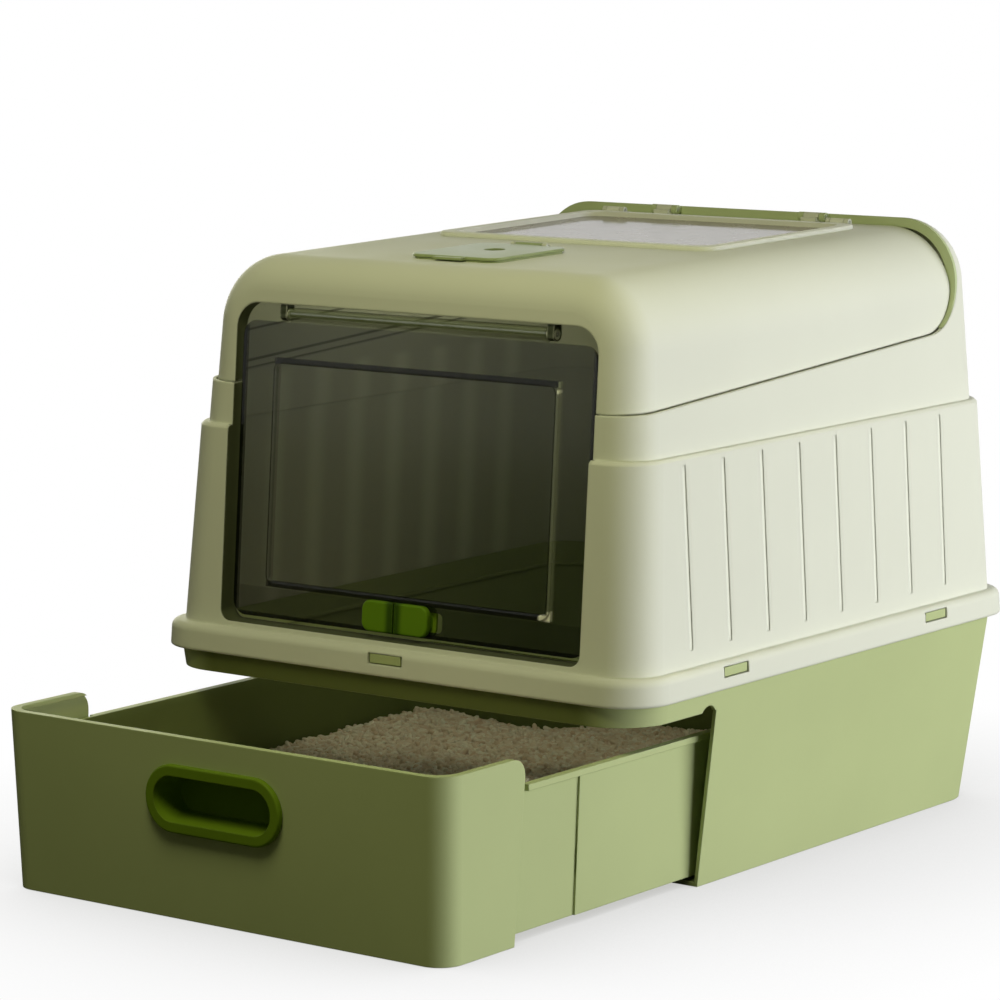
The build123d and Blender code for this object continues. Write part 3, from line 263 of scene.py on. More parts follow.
class Material(Nodes):
    """Node material under construction."""

    def __init__(self, name: str) -> None:
        """Start a material with its shader and output.

        Args:
            name: Name of the material.
        """
        self.data = bpy.data.materials.new(name)
        self.data.use_nodes = True
        super().__init__(self.data.node_tree)
        self.shader = self.node("BsdfPrincipled")
        self.surface = self.node("OutputMaterial").inputs["Surface"]
        self.link(self.shader.outputs[0], self.surface)
        self.place = self.node("TexCoord").outputs["Object"]

    def set(self, **values: object) -> None:
        """Put values or sockets on the shader's own sockets; underscores stand for spaces."""
        for key, value in values.items():
            self.put(value, self.shader.inputs[key.replace("_", " ")])

    def noise(self, texture: Noise) -> Socket:
        """Noise texture on the piece's own coordinates.

        Args:
            texture: Scale, detail and stretch of the noise.

        Returns:
            The noise value's socket.
        """
        mapping = self.node("Mapping")
        mapping.inputs["Scale"].default_value = texture.stretch
        self.link(self.place, mapping.inputs["Vector"])
        node = self.node("TexNoise")
        node.inputs["Scale"].default_value = texture.scale
        node.inputs["Detail"].default_value = texture.detail
        self.link(mapping.outputs[0], node.inputs["Vector"])
        return node.outputs["Fac"]

    def between(self, value: Socket, low: float, high: float) -> Socket:
        """Carry a noise value to the stretch from low to high.

        Args:
            value: Socket with the noise value.
            low: Result at the low end of the noise.
            high: Result at its high end.

        Returns:
            The result's socket.
        """
        node = self.node("MapRange")
        names = ("From Min", "From Max", "To Min", "To Max")
        for name, number in zip(names, (*NOISE_SPAN, low, high)):
            node.inputs[name].default_value = number
        self.link(value, node.inputs["Value"])
        return node.outputs[0]

    def ramp(self, value: Socket, first: tuple, last: tuple, span: tuple = NOISE_SPAN) -> Socket:
        """Colour ramp over a value.

        Args:
            value: Socket with the position on the ramp.
            first: Colour up to the span's start.
            last: Colour from the span's end.
            span: Start and end of the change.

        Returns:
            The colour's socket.
        """
        node = self.node("ValToRGB")
        for element, position, colour in zip(node.color_ramp.elements, span, (first, last)):
            element.position = position
            element.color = (*colour, 1.0)
        self.link(value, node.inputs["Fac"])
        return node.outputs["Color"]

    def bump(self, height: Socket, relief: Relief, under: Socket | None = None) -> Socket:
        """Bump from a height, over an optional normal.

        Args:
            height: Socket with the height.
            relief: Strength and depth of the bump.
            under: Normal that the bump is laid on.

        Returns:
            The new normal's socket.
        """
        node = self.node("Bump")
        node.inputs["Strength"].default_value = relief.strength
        node.inputs["Distance"].default_value = relief.depth
        self.link(height, node.inputs["Height"])
        if under is not None:
            self.link(under, node.inputs["Normal"])
        return node.outputs["Normal"]

    def soft_edge(self, radius: float) -> Socket:
        """Normal that rounds sharp edges by a radius."""
        node = self.node("Bevel")
        node.samples = EDGE_SAMPLES
        node.inputs["Radius"].default_value = radius
        return node.outputs["Normal"]

    def worn_edge(self, rounded: Socket, gain: float) -> Socket:
        """Mark along edges, from how far the rounded normal leaves the plain one.

        Args:
            rounded: Normal from soft_edge.
            gain: How fast the mark grows with the angle.

        Returns:
            The 0..1 mark's socket.
        """
        dot = self.node("VectorMath")
        dot.operation = "DOT_PRODUCT"
        self.link(self.node("NewGeometry").outputs["Normal"], dot.inputs[0])
        self.link(rounded, dot.inputs[1])
        return self.rise(self.times(self.minus(1.0, dot.outputs["Value"]), gain), 0.0, 1.0)

    def facing(self) -> tuple:
        """X, Y and Z of the surface's direction on the piece's own axes."""
        return self.parts(self.node("TexCoord").outputs["Normal"])

    def outward(self) -> Socket:
        """How far a face turns away from the box's middle plane: 1 straight out, -1 straight in."""
        x, _, _ = self.parts(self.place)
        across, _, _ = self.facing()
        return self.times(self.math("SIGN", x), across)


@dataclass(frozen=True)
class MouldedPlastic:
    """Satin injection-moulded plastic: faint colour drift, fine spark texture and pale worn edges."""

    name: str
    colour: tuple
    drift: float = 0.04
    cloud: Noise = Noise(6.0, 4.0)
    roughness: tuple = (0.46, 0.58)
    streak: Noise = Noise(22.0, 5.0, (1.0, 1.0, 0.35))
    spark: Noise = Noise(1500.0, 2.0)
    spark_relief: Relief = Relief(0.05, 0.0002)
    sag: Noise = Noise(9.0, 1.0)
    sag_relief: Relief = Relief(0.05, 0.002)
    edge: float = 0.0009
    wear: float = 0.10
    wear_gain: float = 3.0
    shine: float = 0.10
    ior: float = 1.49

    def pattern(self, mat: Material, colour: Socket) -> Socket:
        """Lay the finish's own marks on its colour; none here.

        Args:
            mat: Material under construction.
            colour: Socket with the plain colour.

        Returns:
            The marked colour's socket.
        """
        return colour

    def relief(self, mat: Material, normal: Socket) -> Socket:
        """Lay the finish's own relief on its normal; none here.

        Args:
            mat: Material under construction.
            normal: Socket with the plain normal.

        Returns:
            The new normal's socket.
        """
        return normal

    def build(self) -> bpy.types.Material:
        """Write the nodes: colour = base x (1 +- drift), paler along edges, roughness from streaks."""
        mat = Material(self.name)
        dark, light = toned(self.colour, 1 - self.drift), toned(self.colour, 1 + self.drift)
        colour = self.pattern(mat, mat.ramp(mat.noise(self.cloud), dark, light))
        pale = tuple(part + (1.0 - part) * self.wear for part in self.colour)
        rounded = mat.soft_edge(self.edge)
        normal = mat.bump(mat.noise(self.spark), self.spark_relief, rounded)
        normal = mat.bump(mat.noise(self.sag), self.sag_relief, normal)
        mat.set(Base_Color=mat.mix(mat.worn_edge(rounded, self.wear_gain), colour, pale),
                Roughness=mat.between(mat.noise(self.streak), *self.roughness),
                Normal=self.relief(mat, normal), IOR=self.ior, Specular_IOR_Level=self.shine)
        return mat.data


@dataclass(frozen=True)
class ShellPlastic(MouldedPlastic):
    """Plastic of hood and lid: painted shade lines the door opening, and painted shade marks the seam's lip
    inside.
    """

    drift: float = 0.02
    edge: float = 0.0022
    # painted shade: dark colour laid on the faces inside the door opening
    opening_shade: tuple = (0.07, 0.08, 0.04)
    opening_across: Span = Span(-1.0, 0.1668, 0.0002)
    opening_upright: Span = Span(0.1660, 0.4070, 0.0002)
    opening_depth: Span = Span(-0.2480, -0.2150, 0.0005)
    opening_turn: tuple = (0.75, 0.45)
    wall_turn: tuple = (0.6, 0.9)
    foot_z: float = 0.165
    lean: float = 0.0811
    seam_z: float = 0.357
    seam_slope: float = 0.0589
    # painted shade: darker lines on the inner walls along the seam and its lip
    lines: tuple = (Span(-0.0008, 0.0022, 0.0004), Span(0.0062, 0.0084, 0.0004), Span(0.0300, 0.0318, 0.0004))
    shade_line_tone: float = 0.35

    def in_opening(self, mat: Material) -> Socket:
        """Mark of the painted shade on faces that look into the door opening, to a depth = y - lean x (z -
        foot).

        Args:
            mat: Material under construction.

        Returns:
            The 0..1 mark's socket.
        """
        x, y, z = mat.parts(mat.place)
        _, along, _ = mat.facing()
        depth = mat.minus(y, mat.times(mat.minus(z, self.foot_z), self.lean))
        outline = mat.block((mat.away(x), self.opening_across), (z, self.opening_upright),
                            (depth, self.opening_depth))
        return mat.times(outline, mat.rise(mat.away(along), *self.opening_turn))

    def walls(self, mat: Material) -> tuple:
        """1 on the outer faces of the side walls, and 1 on their inner faces."""
        outward = mat.outward()
        start, end = self.wall_turn
        return mat.rise(outward, start, end), mat.rise(outward, -start, -end)

    def pattern(self, mat: Material, colour: Socket) -> Socket:
        """Painted shade in the opening, and darker painted shade lines inside that follow the sloping seam.
        """
        _, y, z = mat.parts(mat.place)
        over = mat.minus(mat.minus(z, self.seam_z), mat.times(y, self.seam_slope))
        _, inner = self.walls(mat)
        for shade_line_span in self.lines:
            # painted shade along the seam inside
            shade_line = mat.times(inner, mat.span(over, shade_line_span))
            colour = mat.mix(shade_line, colour, toned(self.colour, self.shade_line_tone))
        # painted shade on the faces that look into the door opening
        return mat.mix(self.in_opening(mat), colour, self.opening_shade)


@dataclass(frozen=True)
class FlutedPlastic(ShellPlastic):
    """Plastic of the hood, whose side walls have soft upright flutes outside, with painted shade and a
    painted light core, and painted light bands where the flutes run inside.
    """

    first: float = -0.178
    pitch: float = 0.0485
    count: int = 8
    row_soft: float = 0.001
    outer_upright: Span = Span(0.180, 0.304, 0.004)
    outer_half: float = 0.0075
    # painted shade: outer flutes darker than the wall
    flute_shade_tone: float = 0.95
    core_half: float = 0.0026
    # painted light: paler core in each outer flute
    core_light_tone: float = 1.17
    inner_upright: Span = Span(0.150, 0.342, 0.004)
    inner_half: float = 0.017
    # painted light: inner flute bands lighter than the wall
    inner_light_tone: float = 1.24
    press: Relief = Relief(0.5, 0.0012)

    def flute(self, mat: Material, half: float, upright: Span) -> Socket:
        """0..1 height of a flute: distance to the nearest line of the row, folded by the pitch.

        Args:
            mat: Material under construction.
            half: Half width of the flute.
            upright: Heights at which the flutes start and end.

        Returns:
            The height's socket.
        """
        _, y, z = mat.parts(mat.place)
        front = self.first - self.pitch / 2
        steps = mat.math("DIVIDE", mat.minus(y, front), self.pitch)
        fold = mat.away(mat.minus(mat.math("FRACT", steps), 0.5))
        near = mat.rise(mat.times(fold, self.pitch), half, 0.0)
        row = Span(front, front + self.count * self.pitch, self.row_soft)
        return mat.times(near, mat.block((y, row), (z, upright)))

    def pattern(self, mat: Material, colour: Socket) -> Socket:
        """Painted shade on the outer flutes with a painted light core, painted light bands on the inner ones.
        """
        outer, inner = self.walls(mat)
        # painted shade and painted light laid along the flutes
        for wall, half, upright, tone in ((outer, self.outer_half, self.outer_upright, self.flute_shade_tone),
                                          (outer, self.core_half, self.outer_upright, self.core_light_tone),
                                          (inner, self.inner_half, self.inner_upright, self.inner_light_tone)):
            share = mat.times(self.flute(mat, half, upright), wall)
            colour = mat.mix(share, colour, toned(self.colour, tone))
        return super().pattern(mat, colour)

    def relief(self, mat: Material, normal: Socket) -> Socket:
        """Flutes pressed about a millimetre into the outer faces."""
        outer, _ = self.walls(mat)
        pressed = mat.times(self.flute(mat, self.outer_half, self.outer_upright), outer, -1.0)
        return mat.bump(pressed, self.press, normal)


@dataclass(frozen=True)
class LuggedPlastic(ShellPlastic):
    """Plastic of the lid: dark door lugs under its front, and painted shade on the inside behind them."""

    lug: tuple = (0.06, 0.07, 0.045)
    lug_across: Span = Span(0.1155, 0.1255, 0.0002)
    lug_along: Span = Span(-0.224, -0.2, 0.0005)
    lug_upright: Span = Span(0.385, 0.4035, 0.0005)
    # painted shade: dim colour on downward faces inside the lid behind its front
    throat_shade: tuple = (0.16, 0.18, 0.10)
    throat_across: Span = Span(-1.0, 0.176, 0.002)
    throat_along: Span = Span(-0.222, -0.150, 0.004)
    throat_upright: Span = Span(0.395, 0.4435, 0.002)
    throat_turn: tuple = (0.1, -0.2)

    def pattern(self, mat: Material, colour: Socket) -> Socket:
        """Lug colour in two blocks mirrored over X, painted shade on what faces down behind the front."""
        x, y, z = mat.parts(mat.place)
        _, _, up = mat.facing()
        lug = mat.block((mat.away(x), self.lug_across), (y, self.lug_along), (z, self.lug_upright))
        throat_shade = mat.block((mat.away(x), self.throat_across), (y, self.throat_along),
                           (z, self.throat_upright))
        # painted shade on downward faces behind the front
        colour = mat.mix(mat.times(throat_shade, mat.rise(up, *self.throat_turn)), colour, self.throat_shade)
        return mat.mix(lug, super().pattern(mat, colour), self.lug)


@dataclass(frozen=True)
class LatchPlastic(MouldedPlastic):
    """Plastic of the thumb latch, shaded in the waist between its two lobes."""

    waist: Span = Span(-0.0125, 0.0005, 0.003)
    deep: tuple = (0.012, 0.035, 0.002)
    deep_share: float = 0.8

    def pattern(self, mat: Material, colour: Socket) -> Socket:
        """Darker across the waist."""
        x, _, _ = mat.parts(mat.place)
        return mat.mix(mat.times(mat.span(x, self.waist), self.deep_share), colour, self.deep)


@dataclass(frozen=True)
class TrayPlastic(MouldedPlastic):
    """Plastic of the tray, with a deeper tone on its inner faces for the shade that lies there."""

    deep: tuple = (0.16, 0.20, 0.075)
    turn: tuple = (-0.3, -0.7)
    across: tuple = (0.1945, 0.1935)
    foot: tuple = (0.030, 0.040)

    def pattern(self, mat: Material, colour: Socket) -> Socket:
        """Deeper tone on faces that look at the tray's middle plane or forwards."""
        x, _, z = mat.parts(mat.place)
        _, along, _ = mat.facing()
        inward = mat.most(mat.rise(mat.outward(), *self.turn), mat.rise(along, *self.turn))
        within = mat.times(mat.rise(mat.away(x), *self.across), mat.rise(z, *self.foot))
        return mat.mix(mat.times(inward, within), colour, self.deep)


@dataclass(frozen=True)
class RingPlastic(MouldedPlastic):
    """Plastic of the base, with a deeper tone on its ring's front for the shade under the hood's rim."""

    deep: tuple = (0.13, 0.155, 0.045)
    front: tuple = (-0.225, -0.245)
    upright: Span = Span(0.127, 0.150, 0.002)
    corner: tuple = (0.205, 0.165)

    def pattern(self, mat: Material, colour: Socket) -> Socket:
        """Deeper tone on the front of the ring, fading into the corners."""
        x, y, z = mat.parts(mat.place)
        share = mat.times(mat.rise(y, *self.front), mat.span(z, self.upright),
                          mat.rise(mat.away(x), *self.corner))
        return mat.mix(share, colour, self.deep)


@dataclass(frozen=True)
class ClearPlastic:
    """Tinted see-through plastic sheet with faint haze and hairline scuffs."""

    name: str
    colour: tuple
    alpha: float
    haze: Noise = Noise(14.0, 3.0)
    haze_tone: float = 0.85
    scuff: Noise = Noise(60.0, 6.0, (1.0, 1.0, 0.08))
    roughness: tuple = (0.05, 0.12)
    ripple: Noise = Noise(5.0, 1.0)
    ripple_relief: Relief = Relief(0.04, 0.002)
    edge: float = 0.0008
    shine: float = 0.3
    ior: float = 1.45

    def marks(self, mat: Material, colour: Socket) -> tuple:
        """Lay the finish's own marks on its colour and alpha; none here.

        Args:
            mat: Material under construction.
            colour: Socket with the plain colour.

        Returns:
            The colour's socket, and a socket or number for the alpha.
        """
        return colour, self.alpha

    def build(self) -> bpy.types.Material:
        """Write the nodes: tinted body with its marks, scuffed gloss and a slight ripple."""
        mat = Material(self.name)
        body = mat.ramp(mat.noise(self.haze), toned(self.colour, self.haze_tone), self.colour)
        colour, alpha = self.marks(mat, body)
        mat.set(Base_Color=colour, Alpha=alpha, Roughness=mat.between(mat.noise(self.scuff), *self.roughness),
                Normal=mat.bump(mat.noise(self.ripple), self.ripple_relief, mat.soft_edge(self.edge)),
                IOR=self.ior, Specular_IOR_Level=self.shine)
        return mat.data


@dataclass(frozen=True)
class BandedPlastic(ClearPlastic):
    """Sheet of the skylight, with soft slanted bands of a deeper tone."""

    band_pitch: float = 0.054
    band_slant: float = 0.77
    band_rise: tuple = (-0.8, 0.8)
    band_tone: float = 0.84

    def marks(self, mat: Material, colour: Socket) -> tuple:
        """Bands of a sine over x + slant x y."""
        x, y, _ = mat.parts(mat.place)
        slant = mat.math("ADD", x, mat.times(y, self.band_slant))
        wave = mat.math("SINE", mat.times(slant, 2 * np.pi / self.band_pitch))
        band = mat.rise(wave, *self.band_rise)
        return mat.mix(band, colour, toned(self.colour, self.band_tone)), self.alpha


@dataclass(frozen=True)
class DoorPlastic(ClearPlastic):
    """Smoked sheet of the flap: painted shade on its moulded ribs, painted shadow along its edges, painted
    light on its right rib and barrel, and painted highlights at the rib's corners.
    """

    # painted light: paler barrel along the top of the flap
    lit_barrel: tuple = (0.23, 0.27, 0.155)
    barrel_rise: tuple = (0.389, 0.392)
    # painted shade: near-black colour of the moulded ribs and edges
    shade_line: tuple = (0.004, 0.005, 0.003)
    shade_line_cover: float = 0.78
    left_share: float = 0.7
    # painted light on the right rib
    lit: tuple = (0.32, 0.35, 0.27)
    lit_width: float = 0.0022
    lit_cover: float = 0.45
    # painted highlight: bright colour at the right rib's corners
    spark: tuple = (0.95, 0.95, 0.88)
    highlight_across: Span = Span(0.1210, 0.1305, 0.0012)
    highlight_low: Span = Span(0.1960, 0.2035, 0.001)
    highlight_high: Span = Span(0.3555, 0.3585, 0.001)
    rib: Span = Span(0.1260, 0.1305, 0.0003)
    rib_head: Span = Span(0.3596, 0.3642, 0.0003)
    rib_foot: Span = Span(0.1956, 0.2004, 0.0003)
    # painted shadow: dark band along the flap's sides and foot
    edge_shadow_across: tuple = (0.1572, 0.1582)
    edge_shadow_foot: tuple = (0.1765, 0.1750)
    margin: tuple = (0.1956, 0.1946)
    margin_cover: float = 0.50

    def ribs(self, mat: Material) -> tuple:
        """Marks of the raised border round the sheet.

        Args:
            mat: Material under construction.

        Returns:
            0..1 sockets for its head, foot, left side and right side.
        """
        x, _, z = mat.parts(mat.place)
        inner, outer, soft = self.rib.low, self.rib.high, self.rib.soft
        wide = mat.span(x, Span(-outer, outer, soft))
        tall = mat.span(z, Span(self.rib_foot.low, self.rib_head.high, soft))
        head = mat.times(mat.span(z, self.rib_head), wide)
        foot = mat.times(mat.span(z, self.rib_foot), wide)
        left = mat.times(mat.span(x, Span(-outer, -inner, soft)), tall)
        right = mat.times(mat.span(x, Span(outer - self.lit_width, outer, soft)), tall)
        return head, foot, left, right

    def marks(self, mat: Material, colour: Socket) -> tuple:
        """Colours of the flap's parts, with painted shade, shadow, light and highlights, and how far each
        hides what is behind it.
        """
        x, _, z = mat.parts(mat.place)
        head, foot, left, right = self.ribs(mat)
        lit_barrel = mat.rise(z, *self.barrel_rise)
        # painted shadow along the flap's sides and foot
        rim = mat.most(mat.rise(mat.away(x), *self.edge_shadow_across), mat.rise(z, *self.edge_shadow_foot))
        # painted shade on the ribs and edges
        dark = mat.most(head, foot, mat.times(rim, mat.minus(1.0, lit_barrel)), mat.times(left, self.left_share))
        ends = mat.most(mat.span(z, self.highlight_low), mat.span(z, self.highlight_high))
        corner = mat.times(mat.span(x, self.highlight_across), ends)
        # painted highlights at the right rib's corners
        spark = mat.times(corner, mat.most(right, foot))
        margin = mat.rise(z, *self.margin)
        alpha = mat.most(mat.times(dark, self.shade_line_cover), mat.times(right, self.lit_cover), spark,
                         mat.times(margin, self.margin_cover), self.alpha)
        # painted light, shade and highlights laid over the smoke colour
        for share, tint in ((lit_barrel, self.lit_barrel), (dark, self.shade_line), (right, self.lit), (spark, self.spark)):
            colour = mat.mix(share, colour, tint)
        return colour, alpha


@dataclass(frozen=True)
class DrawnSteel:
    """Plain steel wire with lengthwise draw lines."""

    name: str = "drawn_steel"
    dark: tuple = (0.52, 0.53, 0.54)
    light: tuple = (0.70, 0.71, 0.72)
    lines: Noise = Noise(900.0, 3.0, (0.05, 1.0, 1.0))
    relief: Relief = Relief(0.1, 0.0001)
    roughness: tuple = (0.22, 0.45)

    def build(self) -> bpy.types.Material:
        """Write the nodes: metal with streaked tone and roughness along X."""
        mat = Material(self.name)
        lines = mat.noise(self.lines)
        mat.set(Base_Color=mat.ramp(lines, self.dark, self.light), Normal=mat.bump(lines, self.relief),
                Roughness=mat.between(lines, *self.roughness), Metallic=1.0)
        return mat.data


@dataclass(frozen=True)
class CharcoalFelt:
    """Soft black felt of the scent box's refill."""

    name: str = "charcoal_needle_felt"
    dark: tuple = (0.012, 0.012, 0.013)
    light: tuple = (0.05, 0.05, 0.052)
    fibres: Noise = Noise(700.0, 6.0)
    relief: Relief = Relief(0.8, 0.0008)
    roughness: float = 0.95
    sheen: float = 0.4

    def build(self) -> bpy.types.Material:
        """Write the nodes: dark fibres with fuzzy bump and sheen."""
        mat = Material(self.name)
        fibre = mat.noise(self.fibres)
        mat.set(Base_Color=mat.ramp(fibre, self.dark, self.light), Normal=mat.bump(fibre, self.relief),
                Roughness=self.roughness, Sheen_Weight=self.sheen)
        return mat.data


@dataclass(frozen=True)
class LitterPellet:
    """Pressed plant pellets with a dusty broken surface; with an attribute, each has its own shade."""

    name: str
    attribute: str = ""
    dark: tuple = (0.76, 0.58, 0.50)
    pale: tuple = (1.0, 0.97, 0.94)
    deep_tone: float = 0.85
    mottle: Noise = Noise(260.0, 4.0)
    crumb: Noise = Noise(1400.0, 3.0)
    relief: Relief = Relief(0.5, 0.0006)
    roughness: float = 0.88

    def build(self) -> bpy.types.Material:
        """Write the nodes: colour from the pellet's own shade value or from noise, rough and bumpy."""
        mat = Material(self.name)
        if self.attribute:
            shade = mat.node("Attribute")
            shade.attribute_name = self.attribute
            colour = mat.ramp(shade.outputs["Fac"], self.dark, self.pale, (0.0, 1.0))
        else:
            colour = mat.ramp(mat.noise(self.mottle), toned(self.dark, self.deep_tone), self.dark)
        mat.set(Base_Color=colour, Normal=mat.bump(mat.noise(self.crumb), self.relief),
                Roughness=self.roughness)
        return mat.data


class Tone(Enum):
    """Named finishes of the box, each built once."""

    SAGE = MouldedPlastic("sage_moulded", (0.465, 0.535, 0.275), wear=0.05)
    SAGE_TRAY = TrayPlastic("sage_tray_moulded", (0.465, 0.535, 0.275), wear=0.05)
    SAGE_BASE = RingPlastic("sage_base_moulded", (0.475, 0.545, 0.28), wear=0.05)
    # painted light: the same sage made paler for the light on the arch trim
    SAGE_TRIM = MouldedPlastic("sage_trim_painted_light", (0.52, 0.60, 0.35))
    SAGE_GLOSS = MouldedPlastic("sage_gloss_plastic", (0.33, 0.40, 0.19), roughness=(0.28, 0.38), shine=0.22)
    CREAM = MouldedPlastic("cream_moulded", (0.84, 0.86, 0.80), drift=0.02)
    CREAM_HOOD = FlutedPlastic("cream_hood_plastic", (0.72, 0.74, 0.655))
    CREAM_LID = LuggedPlastic("cream_lid_plastic", (0.72, 0.74, 0.655))
    DARK_GREEN = MouldedPlastic("deep_green_moulded", (0.15, 0.245, 0.014), roughness=(0.34, 0.46), wear=0.03,
                                shine=0.06)
    LATCH_GREEN = LatchPlastic("latch_green_plastic", (0.13, 0.25, 0.011), roughness=(0.30, 0.42), wear=0.03,
                               shine=0.05)
    SMOKE = DoorPlastic("smoke_sheet", (0.012, 0.016, 0.009), 0.42)
    CLEAR = BandedPlastic("skylight_sheet_clear", (0.50, 0.455, 0.455), 0.84, shine=0.10)
    STEEL = DrawnSteel()
    FELT = CharcoalFelt()
    LITTER_DEEP = LitterPellet("litter_bed_pellets")
    LITTER_TOP = LitterPellet("litter_pellets", "shade")

    def material(self) -> bpy.types.Material:
        """Return the finish's material, made on first use; no name here is one of the frame's own."""
        made = bpy.data.materials.get(self.value.name)
        return made if made else self.value.build()


def dress(obj: bpy.types.Object, tone: Tone) -> None:
    """Give an object one finish in all its slots.

    Args:
        obj: Piece or CAD node.
        tone: Finish to use.
    """
    material = tone.material()
    if not obj.material_slots:
        obj.data.materials.append(material)
    for slot in obj.material_slots:
        slot.material = material


def add_object(name: str, data: bpy.types.ID) -> bpy.types.Object:
    """Make an object of a mesh, lamp or camera and put it in the scene."""
    obj = bpy.data.objects.new(name, data)
    bpy.context.scene.collection.objects.link(obj)
    return obj


def aim(obj: bpy.types.Object, place: tuple, side: np.ndarray, up: np.ndarray, ahead: np.ndarray) -> None:
    """Place and turn a camera or lamp.

    Args:
        obj: Camera or lamp.
        place: Its place.
        side: Direction of its own X.
        up: Direction of its own Y.
        ahead: Direction in which it looks.
    """
    turn = Matrix((side, up, -ahead)).transposed().to_4x4()
    obj.matrix_world = Matrix.Translation(place) @ turn


def mesh_piece(name: str, points: np.ndarray, faces: list, tone: Tone) -> bpy.types.Object:
    """Make a smooth-shaded mesh object from arrays.

    Args:
        name: Piece name.
        points: (n, 3) array of places.
        faces: Arrays of vertex numbers, each for faces of one size.
        tone: Finish of the piece.

    Returns:
        The new object, with its place in its mesh.
    """
    mesh = bpy.data.meshes.new(name)
    rows = [row for block in faces for row in block.tolist()]
    mesh.from_pydata(points.tolist(), [], rows)
    mesh.polygons.foreach_set("use_smooth", np.full(len(mesh.polygons), True))
    mesh.update()
    obj = add_object(name, mesh)
    dress(obj, tone)
    return obj


def grid_faces(rows: int, columns: int, wrap: bool = False) -> np.ndarray:
    """Quads of a grid of rows x columns points, numbered row by row.

    Args:
        rows: Points along the first parameter.
        columns: Points along the second parameter.
        wrap: Whether the second parameter closes on itself.

    Returns:
        (n, 4) array of vertex numbers.
    """
    i = np.arange(rows - 1)[:, None]
    j = np.arange(columns if wrap else columns - 1)[None, :]
    k = (j + 1) % columns
    a, b = i * columns + j, i * columns + k
    c, d = (i + 1) * columns + k, (i + 1) * columns + j
    return np.stack([a, b, c, d], axis=-1).reshape(-1, 4)


@dataclass
class Box:
    """A node's lowest and highest corners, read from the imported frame."""

    node: str
    low: np.ndarray = field(init=False)
    high: np.ndarray = field(init=False)

    def __post_init__(self) -> None:
        """Read the corners."""
        low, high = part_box(self.node)
        self.low, self.high = np.array(low), np.array(high)

    @property
    def middle(self) -> np.ndarray:
        """Middle of the box."""
        return (self.low + self.high) / 2


